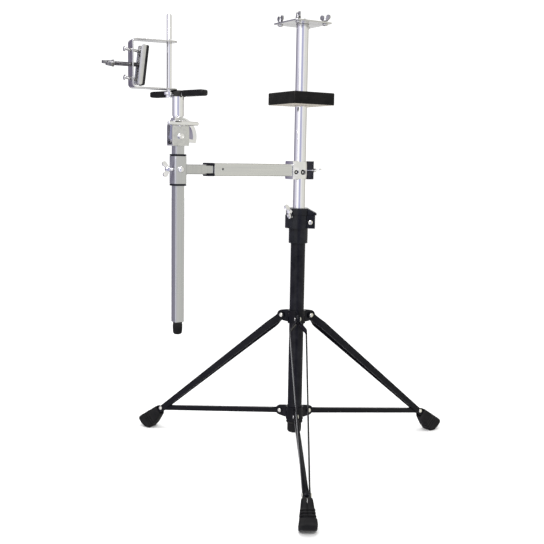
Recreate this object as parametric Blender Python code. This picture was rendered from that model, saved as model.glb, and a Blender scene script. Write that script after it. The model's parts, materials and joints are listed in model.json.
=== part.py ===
"""Percussion stand: a folding tripod, a telescopic pole with a top plate, and a side arm that holds a clamp.

Lengths are millimetres until a mesh or an empty is made, where MM turns them into metres.
The pole stands on the Z axis, and the floor is at Z = 0, while the pieces are made. At the end the root
empty moves sideways so that the world origin is the bottom centre of the stand's bounding box.
"""

import math

import bmesh
import bpy
from mathutils import Euler, Matrix, Vector

MM = 0.001
GAP = 0.3  # between neighbouring pieces
FINE, MEDIUM, COARSE = 32, 20, 12  # sides of round pieces

# Tripod
BASE_RADIUS, BASE_WALL = 15.5, 1.6
BASE_BOTTOM, BASE_TOP = 79.0, 500.0
UPPER_COLLAR_Z, LOWER_COLLAR_Z = 309.0, 97.0
COLLAR_HEIGHT, COLLAR_WALL = 28.0, 2.2
EAR_REACH, EAR_RADIUS, EAR_THICKNESS = 35.0, 11.0, 5.0
RIVET_RADIUS = 3.0
FOOT_PIN_REACH, FOOT_PIN_Z = 353.5, 51.6
LEG_AZIMUTHS = {"front": -86.0, "right": 33.0, "left": 153.0}
STRAP_THICKNESS, STRAP_HEIGHT = 2.5, 19.0
STRAP_SPREAD, STRAP_FOOT_OFFSET = 17.0, 6.3
STRAP_BENDS = (13.0, 33.0, 16.0)  # the first two from the rivet, the last from the foot pin
STRAP_TAIL = 28.0  # beyond the foot pin, in the boot
BRACE_HALF_WIDTH, BRACE_HEIGHT, BRACE_WALL = 4.3, 11.0, 1.5

# Pole and what it carries
POLE_RADIUS, POLE_WALL = 12.7, 1.5
POLE_BOTTOM, POLE_TOP = 150.0, 916.7
PLATE_SIDE, PLATE_THICKNESS, PLATE_TURN = 88.0, 3.0, 34.0
PLATE_BOLT_OFFSET, PLATE_BOLT_RADIUS = 33.0, 3.0
PLATE_NUT_LIFT = 2.6  # room under the wing nuts for the bracket that they hold
FOAM_SIDE, FOAM_HEIGHT, FOAM_Z = 101.0, 26.0, 766.0

# Side arm
ARM_Z, ARM_AZIMUTH = 620.0, 216.0
ARM_OUTER, ARM_INNER, TUBE_WALL = 25.4, 19.05, 1.6
CLAMP_RADIUS, CLAMP_FRONT = 16.3, 27.0
CLAMP_HALF_WIDTH, CLAMP_HEIGHT = 14.5, 38.0
JAW_BACK, JAW_HALF_WIDTH = -29.5, 10.0
ARM_TUBE_END, ARM_BUSHING_END, ARM_INNER_START = 210.0, 226.0, 80.0
UPRIGHT_REACH = 287.0
SLEEVE_BOTTOM, SLEEVE_TOP = 592.0, 645.0
UPRIGHT_BOTTOM, UPRIGHT_TOP = 324.0, 664.0
CORNER = 3.0

# Tilter, fork and clamp
PIVOT_Z, LOCK_ABOVE_PIVOT = 682.0, 24.0
CHEEK_INSIDE, CHEEK_THICKNESS = 8.3, 3.0
SECTOR_RADIUS, SECTOR_HALF_THICKNESS = 36.0, 8.0
TUBE_RADIUS, TUBE_TOP = 11.1, 757.0
FORK_AZIMUTH, FORK_REACH, FORK_Z = -38.0, 71.0, 761.0
ROD_RADIUS, ROD_TOP = 4.75, 906.0
ROD_OFFSET = 18.0
BRACKET_AZIMUTH, BRACKET_REACH = 207.0, 73.5
BRACKET_WIDTH, BRACKET_THICKNESS = 30.0, 2.5
BRACKET_BOTTOM, BRACKET_TOP = 767.7, 857.0
PLATE_BACK, PLATE_DEPTH, PAD_THICKNESS = 64.5, 13.0, 5.0
PLATE_LEAN = 7.0  # the pressure plate rocks on the end of its screw
PRESSURE_BOTTOM, PRESSURE_TOP = 773.5, 846.5
SCREW_Z, UPPER_PIN_Z, LOWER_PIN_Z = 810.5, 836.4, 785.0  # where they cross the bracket


def material(name, colour, roughness, metallic=0.0):
    made = bpy.data.materials.new(name)
    made.use_nodes = True
    shader = made.node_tree.nodes["Principled BSDF"]
    shader.inputs["Base Color"].default_value = (*colour, 1.0)
    shader.inputs["Roughness"].default_value = roughness
    shader.inputs["Metallic"].default_value = metallic
    made.diffuse_color = (*colour, 1.0)
    return made


# Shapes: each returns a bmesh in millimetres.


def turned(profile, steps):
    """Spins (radius, z) points about Z. A profile off the axis is closed; one on it starts and ends there."""
    mesh = bmesh.new()
    points = [mesh.verts.new((radius, 0.0, z)) for radius, z in profile]
    edges = [mesh.edges.new(pair) for pair in zip(points, points[1:])]
    if min(radius for radius, _ in profile) > 0:
        edges.append(mesh.edges.new((points[-1], points[0])))
    bmesh.ops.spin(
        mesh,
        geom=points + edges,
        cent=(0, 0, 0),
        axis=(0, 0, 1),
        angle=math.tau,
        steps=steps,
        use_merge=True,
    )
    bmesh.ops.remove_doubles(mesh, verts=mesh.verts, dist=1e-4)
    bmesh.ops.recalc_face_normals(mesh, faces=mesh.faces)
    return mesh


def rod(radius, bottom, top, steps=MEDIUM, edge=0.0):
    """A cylinder along Z, with an optional chamfer at both ends."""
    if edge:
        profile = [(0, bottom), (radius - edge, bottom), (radius, bottom + edge)]
        profile += [(radius, top - edge), (radius - edge, top), (0, top)]
    else:
        profile = [(0, bottom), (radius, bottom), (radius, top), (0, top)]
    return turned(profile, steps)


def prism(outline, low, high):
    """Extrudes an (x, z) outline along Y, from low to high."""
    mesh = bmesh.new()
    face = mesh.faces.new([mesh.verts.new((x, low, z)) for x, z in outline])
    raised = bmesh.ops.extrude_face_region(mesh, geom=[face])["geom"]
    moved = [item for item in raised if isinstance(item, bmesh.types.BMVert)]
    bmesh.ops.translate(mesh, verts=moved, vec=(0, high - low, 0))
    bmesh.ops.recalc_face_normals(mesh, faces=mesh.faces)
    return mesh


def flat(outline, low, high):
    """Extrudes an (x, y) outline along Z, from low to high."""
    mesh = bmesh.new()
    face = mesh.faces.new([mesh.verts.new((x, y, low)) for x, y in outline])
    raised = bmesh.ops.extrude_face_region(mesh, geom=[face])["geom"]
    moved = [item for item in raised if isinstance(item, bmesh.types.BMVert)]
    bmesh.ops.translate(mesh, verts=moved, vec=(0, 0, high - low))
    bmesh.ops.recalc_face_normals(mesh, faces=mesh.faces)
    return mesh


def box(x0, x1, y0, y1, z0, z1):
    return flat([(x0, y0), (x1, y0), (x1, y1), (x0, y1)], z0, z1)


def arc(centre, radius, start, end, count):
    """Points on an arc, with the angles in degrees."""
    angles = [math.radians(start + (end - start) * i / count) for i in range(count + 1)]
    return [
        (centre[0] + radius * math.cos(a), centre[1] + radius * math.sin(a))
        for a in angles
    ]


def rounded_square(side, radius, corner_steps=3):
    inner = side / 2 - radius
    corners = [(inner, inner, 0), (-inner, inner, 90), (-inner, -inner, 180), (inner, -inner, 270)]
    points = []
    for x, y, start in corners:
        points += arc((x, y), radius, start, start + 90, corner_steps)
    return points


def square_tube(outer, inner, bottom, top, radius):
    """A square tube along Z, made from two outlines with the same number of points."""
    mesh = bmesh.new()
    loops = []
    for side, corner, z in (
        (outer, radius, bottom),
        (outer, radius, top),
        (inner, radius - (outer - inner) / 2, top),
        (inner, radius - (outer - inner) / 2, bottom),
    ):
        points = rounded_square(side, max(corner, 0.4))
        loops.append([mesh.verts.new((x, y, z)) for x, y in points])
    for loop, following in zip(loops, loops[1:] + loops[:1]):
        for i in range(len(loop)):
            j = (i + 1) % len(loop)
            mesh.faces.new((loop[i], loop[j], following[j], following[i]))
    bmesh.ops.recalc_face_normals(mesh, faces=mesh.faces)
    return mesh


def moved(mesh, shift=(0, 0, 0), turn=(0, 0, 0)):
    """The same bmesh, turned by degrees about X, Y and Z and then shifted."""
    euler = Euler([math.radians(a) for a in turn])
    matrix = Matrix.Translation(shift) @ euler.to_matrix().to_4x4()
    bmesh.ops.transform(mesh, matrix=matrix, verts=mesh.verts)
    return mesh


# Objects


def empty(name, parent, shift=(0, 0, 0), turn=(0, 0, 0)):
    made = bpy.data.objects.new(name, None)
    made.empty_display_size = 0.02
    made.parent = parent
    made.location = Vector(shift) * MM
    made.rotation_euler = [math.radians(a) for a in turn]
    bpy.context.scene.collection.objects.link(made)
    return made


def solid(name, mesh, look, parent, shift=(0, 0, 0), turn=(0, 0, 0)):
    """An object from a bmesh, whose origin is at shift in its parent's frame."""
    bmesh.ops.scale(mesh, vec=(MM, MM, MM), verts=mesh.verts)
    data = bpy.data.meshes.new(name)
    mesh.to_mesh(data)
    mesh.free()
    data.shade_smooth()
    data.set_sharp_from_angle(angle=math.radians(32))
    data.materials.append(look)
    made = bpy.data.objects.new(name, data)
    made.parent = parent
    made.location = Vector(shift) * MM
    made.rotation_euler = [math.radians(a) for a in turn]
    bpy.context.scene.collection.objects.link(made)
    return made


def boolean(target, mesh, operation):
    """Adds a Boolean whose hidden helper is given in the target's own frame."""
    label = f"{target.name}_{operation.lower()}_{len(target.modifiers)}"
    helper = solid(label, mesh, target.data.materials[0], target)
    helper.hide_render = True
    helper.display_type = "WIRE"
    made = target.modifiers.new(label, "BOOLEAN")
    made.operation = operation
    made.solver = "EXACT"
    made.object = helper


def join(target, *meshes):
    for mesh in meshes:
        boolean(target, mesh, "UNION")


def cut(target, *meshes):
    for mesh in meshes:
        boolean(target, mesh, "DIFFERENCE")


def butterfly(span, height, lobe, waist):
    """The (x, z) outline of two wings that rise from the hub of a wing nut."""
    centre = (span / 2 - lobe, height - lobe)
    right = [(waist, 0.0)] + arc(centre, lobe, -70, 140, 6) + [(waist * 0.5, height * 0.5)]
    return right + [(-x, z) for x, z in reversed(right)]


def winged(name, look, parent, turn, hub, span, height, bore=0.0, shank=None):
    """A wing nut or bolt along Z: hub is (radius, height), and shank is (radius, length) below the hub."""
    place = {"shift": (0, 0, 0), "turn": (0, 0, turn)}
    radius, hub_height = hub
    bottom = (bore, 0.0) if bore else (0, 0.0)
    top = (bore, hub_height) if bore else (0, hub_height)
    outline = [bottom, (radius, 0.0), (radius * 0.8, hub_height), top]
    if shank:
        outline = [(0, -shank[1]), (shank[0], -shank[1]), (shank[0], 0.0)] + outline[1:]
    wings = prism(butterfly(span, height, span * 0.14, radius * 0.9), -1.5, 1.5)
    if bore:
        made = solid(name, wings, look, parent, **place)
        join(made, rod(radius * 0.9, 0.0, hub_height, COARSE))
        cut(made, rod(bore, -5.0, height + 5.0, COARSE))
    else:
        made = solid(name, turned(outline, COARSE), look, parent, **place)
        join(made, moved(wings, (0, 0, 0.6)))
    return made


def rivet(name, look, parent, shift, half_grip):
    """A rivet along Y with a round head at each side of what it holds."""
    head, rise = 4.6, 2.0
    side = [(0, -half_grip - rise), (head - 1.5, -half_grip - rise), (head, -half_grip - 0.6)]
    side += [(head, -half_grip), (RIVET_RADIUS, -half_grip)]
    profile = side + [(radius, -z) for radius, z in reversed(side)]
    return solid(name, turned(profile, MEDIUM), look, parent, shift, (90, 0, 0))


# Tripod


def leg_collar(name, parent, z, look):
    """A stamped collar round the base tube, with three ears that the legs or braces are riveted to."""
    inner = BASE_RADIUS + GAP
    outer = inner + COLLAR_WALL
    half = COLLAR_HEIGHT / 2
    ring = turned([(inner, -half), (outer, -half), (outer, half), (inner, half)], FINE)
    made = solid(name, ring, look, parent, (0, 0, z))
    for azimuth in LEG_AZIMUTHS.values():
        outline = [(inner + 1.0, -half + 1), (26.0, -half + 1)]
        outline += arc((EAR_REACH, 0), EAR_RADIUS, -75, 75, 8)
        outline += [(26.0, half - 1), (inner + 1.0, half - 1)]
        join(made, moved(prism(outline, -EAR_THICKNESS / 2, EAR_THICKNESS / 2), turn=(0, 0, azimuth)))
    for azimuth in LEG_AZIMUTHS.values():
        hole = moved(rod(RIVET_RADIUS + GAP / 2, -9, 9, COARSE), (EAR_REACH, 0, 0), (90, 0, 0))
        cut(made, moved(hole, turn=(0, 0, azimuth)))
    return made


def strap(name, parent, side, length, look):
    """One flat strap of a leg, from its rivet at the collar to its half of the foot pin, along local X."""
    near = EAR_THICKNESS / 2 + GAP + STRAP_THICKNESS / 2
    radius = STRAP_HEIGHT / 2
    stations = [(-radius * math.cos(a), near, radius * math.sin(a)) for a in (0.3, 0.7, 1.1)]
    leaves, spread, closed = STRAP_BENDS
    stations += [(0, near, radius), (leaves, near, radius), (spread, STRAP_SPREAD, radius)]
    stations += [(length - closed, STRAP_FOOT_OFFSET, radius)]
    stations += [(length + 8, STRAP_FOOT_OFFSET, radius), (length + STRAP_TAIL, STRAP_FOOT_OFFSET, 6.5)]
    mesh = bmesh.new()
    half = STRAP_THICKNESS / 2
    loops = []
    for x, y, z in stations:
        corners = [(x, side * (y - half), -z), (x, side * (y + half), -z)]
        corners += [(x, side * (y + half), z), (x, side * (y - half), z)]
        loops.append([mesh.verts.new(corner) for corner in corners])
    for loop, following in zip(loops, loops[1:]):
        for i in range(4):
            j = (i + 1) % 4
            mesh.faces.new((loop[i], loop[j], following[j], following[i]))
    mesh.faces.new(loops[0])
    mesh.faces.new(loops[-1])
    bmesh.ops.recalc_face_normals(mesh, faces=mesh.faces)
    made = solid(name, mesh, look, parent)
    cut(made, moved(rod(RIVET_RADIUS + GAP, -12, 12, COARSE), turn=(90, 0, 0)))
    pin = rod(4.4, 0, STRAP_THICKNESS / 2 + 2.0, COARSE)
    join(made, moved(pin, (length, side * STRAP_FOOT_OFFSET, 0), (-90 * side, 0, 0)))
    return made


def foot_half_width(along):
    """A boot widens from its mouth towards its sole."""
    return 10.8 + 5.7 * max(0.0, min(along, 62.0)) / 62.0


def foot(name, parent, length, look):
    """A rubber boot over the end of a leg, open above where the brace swings clear as the legs fold."""
    outline = [(9, -12.5), (35, -20.5), (54, -22.7), (61.5, -16.6), (68.4, 1.2), (65.5, 15), (9, 11.5)]
    mesh = prism(outline, -1, 1)
    for vert in mesh.verts:
        vert.co.y *= foot_half_width(vert.co.x)
    made = solid(name, mesh, look, parent, (length, 0, 0))
    slot = STRAP_FOOT_OFFSET + STRAP_THICKNESS / 2 + GAP
    cut(made, box(-30, 46, -slot, slot, -10.3, 60))
    return made


def brace(name, parent, length, look):
    """A folded channel from the lower collar to the foot pin. Local X runs along it."""
    half = BRACE_HEIGHT / 2
    outline = arc((0, 0), half, 90, 270, 6) + arc((length, 0), half, -90, 90, 6)
    made = solid(name, prism(outline, -BRACE_HALF_WIDTH, BRACE_HALF_WIDTH), look, parent)
    inside = BRACE_HALF_WIDTH - BRACE_WALL
    cut(made, box(-20, 18, -inside, inside, -20, 20))
    cut(made, box(17, length - 12, -inside, inside, -20, half - BRACE_WALL))
    cut(made, moved(rod(RIVET_RADIUS + GAP, -12, 12, COARSE), turn=(90, 0, 0)))
    return made


def tripod(root, steel, black, rubber):
    base = turned(
        [
            (BASE_RADIUS - BASE_WALL, BASE_BOTTOM),
            (BASE_RADIUS, BASE_BOTTOM),
            (BASE_RADIUS, BASE_TOP),
            (BASE_RADIUS - BASE_WALL, BASE_TOP),
        ],
        FINE,
    )
    solid("base_tube", base, black, root)
    plug = BASE_RADIUS - BASE_WALL - GAP
    cap = [(0, 54.0), (9.0, 54.5), (13.5, 57.5), (15.3, 63.0), (15.3, BASE_BOTTOM - 3)]
    cap += [(18.0, BASE_BOTTOM - 3), (18.0, BASE_BOTTOM - GAP), (plug, BASE_BOTTOM - GAP)]
    cap += [(plug, BASE_BOTTOM + 14), (0, BASE_BOTTOM + 14)]
    solid("base_end_cap", turned(cap, FINE), rubber, root)

    leg_collar("upper_leg_collar", root, UPPER_COLLAR_Z, black)
    sliding = empty("lower_collar_slide", root, (0, 0, LOWER_COLLAR_Z))
    leg_collar("lower_leg_collar", sliding, 0, black)

    reach = FOOT_PIN_REACH - EAR_REACH
    leg_drop, brace_drop = UPPER_COLLAR_Z - FOOT_PIN_Z, LOWER_COLLAR_Z - FOOT_PIN_Z
    leg_length, brace_length = math.hypot(reach, leg_drop), math.hypot(reach, brace_drop)
    leg_angle = math.degrees(math.atan2(leg_drop, reach))
    brace_angle = math.degrees(math.atan2(brace_drop, reach))
    grip = EAR_THICKNESS / 2 + STRAP_THICKNESS + 2 * GAP
    for label, azimuth in LEG_AZIMUTHS.items():
        ear = Matrix.Rotation(math.radians(azimuth), 4, "Z") @ Vector((EAR_REACH, 0, 0))
        upper = empty(f"{label}_upper_ear", root, (ear.x, ear.y, UPPER_COLLAR_Z), (0, 0, azimuth))
        rivet(f"upper_rivet_{label}", steel, upper, (0, 0, 0), grip)
        leg = empty(f"{label}_leg", upper, (0, 0, 0), (0, leg_angle, 0))
        strap(f"leg_strap_{label}_a", leg, 1, leg_length, black)
        strap(f"leg_strap_{label}_b", leg, -1, leg_length, black)
        foot(f"foot_{label}", leg, leg_length, rubber)
        lower = empty(f"{label}_lower_ear", sliding, (ear.x, ear.y, 0), (0, 0, azimuth))
        rivet(f"lower_rivet_{label}", steel, lower, (0, 0, 0), BRACE_HALF_WIDTH + GAP)
        swing = empty(f"{label}_brace", lower, (0, 0, 0), (0, brace_angle, 0))
        brace(f"brace_{label}", swing, brace_length, black)


def height_clamp(root, chrome, cast):
    """The cast clamp on the base tube's top, with its closing bolt and the wing bolt that holds the pole."""
    radius = 20.2
    sleeve_bottom, block_bottom, block_top, cap_top = 467.0, 499.0, 526.0, 541.0
    bolt_x, bolt_z, side = 24.6, 512.0, 17.0
    sleeve = rod(radius, sleeve_bottom, block_bottom + 2, FINE)
    made = solid("height_clamp_body", sleeve, cast, root)
    block = arc((0, 0), 28.6, 58, 302, 16) + [(17, -side), (32.8, -side), (34.8, 2 - side)]
    block += [(x, -y) for x, y in reversed(block[-3:])]
    join(made, flat(block, block_bottom, block_top))
    cap = arc((0, 0), 27.0, 52, 308, 16) + [(19, -14.5), (35.6, -14.5), (37.6, -12.5)]
    cap += [(x, -y) for x, y in reversed(cap[-3:])]
    join(made, flat(cap, block_top - 1, cap_top))
    slope = [(16, cap_top + 1), (60, cap_top - 22), (60, cap_top + 1)]
    cut(made, prism(slope, -40, 40))
    cut(made, rod(BASE_RADIUS + GAP, sleeve_bottom - 5, BASE_TOP + GAP, FINE))
    cut(made, rod(POLE_RADIUS + GAP, BASE_TOP - 5, cap_top + 5, FINE))
    cut(made, box(10, 60, -1.5, 1.5, sleeve_bottom - 5, cap_top + 5))
    cut(made, moved(rod(3.5, -30, 30, COARSE), (bolt_x, 0, bolt_z), (90, 0, 0)))
    shank = [(0, -side - 6), (5.4, -side - 6), (5.4, -side - GAP), (3.2, -side - GAP)]
    shank += [(3.2, side + GAP), (5.4, side + GAP), (4.6, side + 2.4), (0, side + 3.2)]
    solid("height_clamp_bolt", turned(shank, COARSE), chrome, root, (bolt_x, 0, bolt_z), (90, 0, 0))

    azimuth, start, wing_z = 232.0, 28.0, 534.0
    away = Matrix.Rotation(math.radians(azimuth), 4, "Z") @ Vector((1, 0, 0))
    cut(made, moved(rod(4.3, 8, 60, COARSE), (0, 0, wing_z), (0, 90, azimuth)))
    pivot = empty("height_wing_turn", root, away * start + Vector((0, 0, wing_z)), (0, 90, azimuth))
    winged("height_clamp_wing_bolt", chrome, pivot, 75, (5.5, 8.0), 31.0, 13.0, shank=(4.0, 14.0))


# Pole


def pole(root, chrome, zinc, foam):
    carried = empty("pole_slide", root, (0, 0, POLE_BOTTOM))
    length = POLE_TOP - POLE_BOTTOM
    inner = POLE_RADIUS - POLE_WALL
    wall = [(inner, 0), (POLE_RADIUS, 0), (POLE_RADIUS, length), (inner, length)]
    solid("pole_tube", turned(wall, FINE), chrome, carried)

    top = empty("plate_frame", carried, (0, 0, POLE_TOP + GAP - POLE_BOTTOM), (0, 0, PLATE_TURN))
    plate = solid("top_plate", flat(rounded_square(PLATE_SIDE, 4.0), 0, PLATE_THICKNESS), zinc, top)
    offset = PLATE_BOLT_OFFSET
    for number, (x, y) in enumerate(((-1, -1), (1, -1), (1, 1), (-1, 1)), 1):
        place = (x * offset, y * offset, 0)
        cut(plate, moved(rod(PLATE_BOLT_RADIUS + GAP, -5, 9, COARSE), place))
        head = [(0, -4.2), (4.2, -4.0), (5.6, -2.4), (5.6, -GAP), (PLATE_BOLT_RADIUS, -GAP)]
        head += [(PLATE_BOLT_RADIUS, 13.0), (0, 13.0)]
        solid(f"plate_bolt_{number}", turned(head, COARSE), zinc, top, place)
        lifted = (x * offset, y * offset, PLATE_THICKNESS + PLATE_NUT_LIFT)
        nut = empty(f"plate_wing_turn_{number}", top, lifted)
        turn = 20 + 65 * number
        winged(f"plate_wing_nut_{number}", zinc, nut, turn, (5.8, 7.0), 27.0, 12.7, bore=3.3)

    block = empty("foam_slide", carried, (0, 0, FOAM_Z - POLE_BOTTOM), (0, 0, PLATE_TURN))
    body = flat(rounded_square(FOAM_SIDE, 3.0), -FOAM_HEIGHT / 2, FOAM_HEIGHT / 2)
    made = solid("foam_block", body, foam, block)
    cut(made, rod(POLE_RADIUS + GAP, -FOAM_HEIGHT, FOAM_HEIGHT, FINE))
    return carried


# Side arm: in its frames X points away from the pole, along the arm, and Z is up.


def side_arm(carried, chrome, satin, nylon, rubber):
    clamp = empty("arm_swivel", carried, (0, 0, ARM_Z - POLE_BOTTOM), (0, 0, ARM_AZIMUTH))
    half, wide = CLAMP_HEIGHT / 2, CLAMP_HALF_WIDTH
    outline = arc((0, 0), CLAMP_RADIUS, 90, 270, 16)
    outline += [(12, -CLAMP_RADIUS), (CLAMP_FRONT, -wide), (CLAMP_FRONT, wide), (12, CLAMP_RADIUS)]
    body = solid("arm_clamp_body", flat(outline, -half, half), chrome, clamp)
    cut(body, rod(POLE_RADIUS + GAP, -40, 40, FINE))
    cut(body, moved(rod(4.3, -60, 0, COARSE), turn=(0, 90, 0)))
    cut(body, moved(rod(6.5, CLAMP_RADIUS - 2.2, 30, MEDIUM), (2, 0, -4), (-90, 0, 0)))
    jaw_block = box(JAW_BACK, -5, -JAW_HALF_WIDTH, JAW_HALF_WIDTH, -half, half)
    jaw = solid("arm_clamp_jaw", jaw_block, nylon, clamp)
    cut(jaw, rod(CLAMP_RADIUS + GAP, -40, 40, FINE))
    cut(jaw, moved(rod(4.3, -60, 0, COARSE), turn=(0, 90, 0)))
    cut(jaw, box(-60, 0, 3, 30, -1.6, 1.6))
    pivot = empty("arm_wing_turn", clamp, (JAW_BACK - 4, 0, 0), (0, -90, 0))
    winged("arm_clamp_wing_bolt", chrome, pivot, 80, (5.5, 9.0), 31.0, 15.0, shank=(4.0, 20.0))

    start = CLAMP_FRONT + GAP
    tube = square_tube(ARM_OUTER, ARM_OUTER - 2 * TUBE_WALL, start, ARM_TUBE_END, CORNER)
    solid("arm_outer_tube", moved(tube, turn=(0, 90, 0)), satin, clamp)
    bore = ARM_INNER + 2 * GAP
    flange = square_tube(ARM_OUTER + 0.6, bore, ARM_TUBE_END + GAP, ARM_BUSHING_END, CORNER)
    bushing = solid("arm_bushing", moved(flange, turn=(0, 90, 0)), nylon, clamp)
    fitted = ARM_OUTER - 2 * TUBE_WALL - 2 * GAP
    spigot = square_tube(fitted, bore + 0.4, ARM_TUBE_END - 30, ARM_TUBE_END + 2, CORNER - TUBE_WALL)
    join(bushing, moved(spigot, turn=(0, 90, 0)))
    for side in (-1, 1):
        near, far = sorted((side * 9.7, side * 30))
        cut(bushing, box(ARM_TUBE_END + 2.5, 300, near, far, -9.3, 9.3))

    extension = empty("arm_extend", clamp, (UPRIGHT_REACH, 0, 0))
    sleeve_low, sleeve_high = SLEEVE_BOTTOM - ARM_Z, SLEEVE_TOP - ARM_Z
    sleeve_half = ARM_OUTER / 2
    near = ARM_INNER_START - UPRIGHT_REACH
    inner = square_tube(ARM_INNER, ARM_INNER - 3.0, near, 1.0 - sleeve_half, CORNER)
    arm = solid("arm_inner_tube", moved(inner, turn=(0, 90, 0)), satin, extension)
    join(arm, square_tube(ARM_OUTER, ARM_OUTER - 2 * TUBE_WALL, sleeve_low, sleeve_high, CORNER))
    cut(arm, moved(rod(3.9, 0, 20, COARSE), turn=(0, 90, 0)))
    liner = square_tube(fitted, bore, sleeve_low - 3.5, sleeve_high + 3.5, CORNER - TUBE_WALL)
    liner = solid("sleeve_liner", liner, nylon, extension)
    for low in (sleeve_low - 3.5, sleeve_high + GAP):
        join(liner, square_tube(ARM_OUTER, fitted - 0.8, low, low + 3.5 - GAP, CORNER))
    cut(liner, moved(rod(3.9, 0, 20, COARSE), turn=(0, 90, 0)))
    pivot = empty("sleeve_wing_turn", extension, (sleeve_half + 6, 0, 0), (0, 90, 0))
    shank = sleeve_half + 6 - ARM_INNER / 2 - GAP
    winged("sleeve_wing_bolt", chrome, pivot, 12, (5.0, 8.0), 30.0, 14.0, shank=(3.5, shank))

    upright = empty("upright_slide", extension)
    low, high = UPRIGHT_BOTTOM - ARM_Z, UPRIGHT_TOP - ARM_Z
    solid("upright_tube", square_tube(ARM_INNER, ARM_INNER - 3.0, low, high, CORNER), satin, upright)
    plug = ARM_INNER / 2 - 1.5 - GAP
    tip = [(0, low - 25), (6.0, low - 24.5), (8.8, low - 21), (9.4, low - 14), (8.2, low - GAP)]
    tip += [(plug - 0.2, low - GAP), (plug - 0.2, low + 12), (0, low + 12)]
    solid("upright_tip", turned(tip, MEDIUM), rubber, upright)
    return upright


# Tilter, fork and clamp


def tilter(upright, chrome):
    """The cheeks on the upright, the sector that tilts between them, and the bolts through both."""
    frame = empty("tilter_base_frame", upright, (0, 0, PIVOT_Z - ARM_Z))
    low = UPRIGHT_TOP + GAP - PIVOT_Z
    inside, outside = CHEEK_INSIDE, CHEEK_INSIDE + CHEEK_THICKNESS
    outline = [(-18, low), (18, low)] + arc((0, 16), 18, 0, 180, 12)
    base = solid("tilter_base", prism(outline, -outside, outside), chrome, frame)
    cut(base, box(-40, 40, -inside, inside, low + 3, 60))
    cut(base, moved(rod(3.3, -20, 20, COARSE), turn=(90, 0, 0)))
    cut(base, moved(rod(3.8, -20, 20, COARSE), (0, 0, LOCK_ABOVE_PIVOT), (90, 0, 0)))
    profile = [(0, -outside - 4), (5.2, -outside - 4), (5.2, -outside - GAP), (3.0, -outside - GAP)]
    profile += [(radius, -z) for radius, z in reversed(profile)]
    solid("tilter_pivot_bolt", turned(profile, COARSE), chrome, frame, turn=(90, 0, 0))

    stand_off = 9.0
    lock = empty("tilter_lock_turn", frame, (0, outside + stand_off, LOCK_ABOVE_PIVOT), (-90, 0, 0))
    far_side = -2 * outside - stand_off
    shank = [(0, far_side - 6), (6.0, far_side - 6), (6.0, far_side - GAP), (3.5, far_side - GAP)]
    shank += [(3.5, GAP - stand_off), (6.2, GAP - stand_off), (5.5, 2.0), (0, 2.0)]
    bolt = solid("tilter_lock_bolt", turned(shank, COARSE), chrome, lock)
    join(bolt, moved(rod(4.2, -32, 32, COARSE, edge=1.8), (0, 0, 0.5), (0, 90, 0)))

    tilted = empty("tilt", frame)
    half = SECTOR_HALF_THICKNESS
    outline = arc((0, 0), SECTOR_RADIUS, 72, 200, 18) + arc((0, 0), 14.0, 220, 375, 10)
    sector = solid("tilter_arm", prism(outline, -half, half), chrome, tilted)
    join(sector, box(-TUBE_RADIUS, TUBE_RADIUS, -half, half, 28, 37))
    join(sector, rod(TUBE_RADIUS, SECTOR_RADIUS - 0.5, TUBE_TOP - PIVOT_Z, FINE))
    cut(sector, rod(TUBE_RADIUS - 1.5, SECTOR_RADIUS + 4, 200, FINE))
    cut(sector, moved(rod(3.3, -20, 20, COARSE), turn=(90, 0, 0)))
    inner, outer = LOCK_ABOVE_PIVOT - 4.2, LOCK_ABOVE_PIVOT + 4.2
    slot = arc((0, 0), outer, 69, 192, 16) + arc((0, 0), inner, 192, 69, 16)
    cut(sector, prism(slot, -20, 20))
    return tilted


def fork(tilted, chrome, pad):
    """The cross bar on the tube's top, its two padded arms and the rod that stands beside the tube."""
    shift_z = FORK_Z - PIVOT_Z
    swivel = empty("fork_swivel", tilted, (0, 0, shift_z), (0, 0, FORK_AZIMUTH - ARM_AZIMUTH))
    half = 3.0
    bar = box(-FORK_REACH + 6, FORK_REACH - 6, -6, 6, -half + GAP, half - 1)
    plate = solid("fork_plate", bar, chrome, swivel)
    join(plate, rod(TUBE_RADIUS + 1.5, -half + GAP, half, FINE))
    join(plate, rod(TUBE_RADIUS - 2.2, -half - 14, 0, FINE))
    rod_x, rod_y = rod_place()
    join(plate, moved(rod(9.5, -half + GAP, half, MEDIUM), (rod_x, rod_y, 0)))
    cut(plate, moved(rod(ROD_RADIUS + GAP, -10, 10, MEDIUM), (rod_x, rod_y, 0)))
    for name, side in (("fork_pad_right", 1), ("fork_pad_left", -1)):
        inner, outer = side * 17.0, side * FORK_REACH
        pads = box(min(inner, outer), max(inner, outer), -9, 9, -5.5, 6.4)
        made = solid(name, pads, pad, swivel)
        slot_end = FORK_REACH - 6 + GAP
        cut(made, box(-slot_end, slot_end, -6 - GAP, 6 + GAP, -half, half - 1 + GAP))
    return swivel


def rod_place():
    """The rod stands beside the tube, on the side that the bracket reaches to."""
    angle = math.radians(BRACKET_AZIMUTH - FORK_AZIMUTH)
    return ROD_OFFSET * math.cos(angle), ROD_OFFSET * math.sin(angle)


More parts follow.
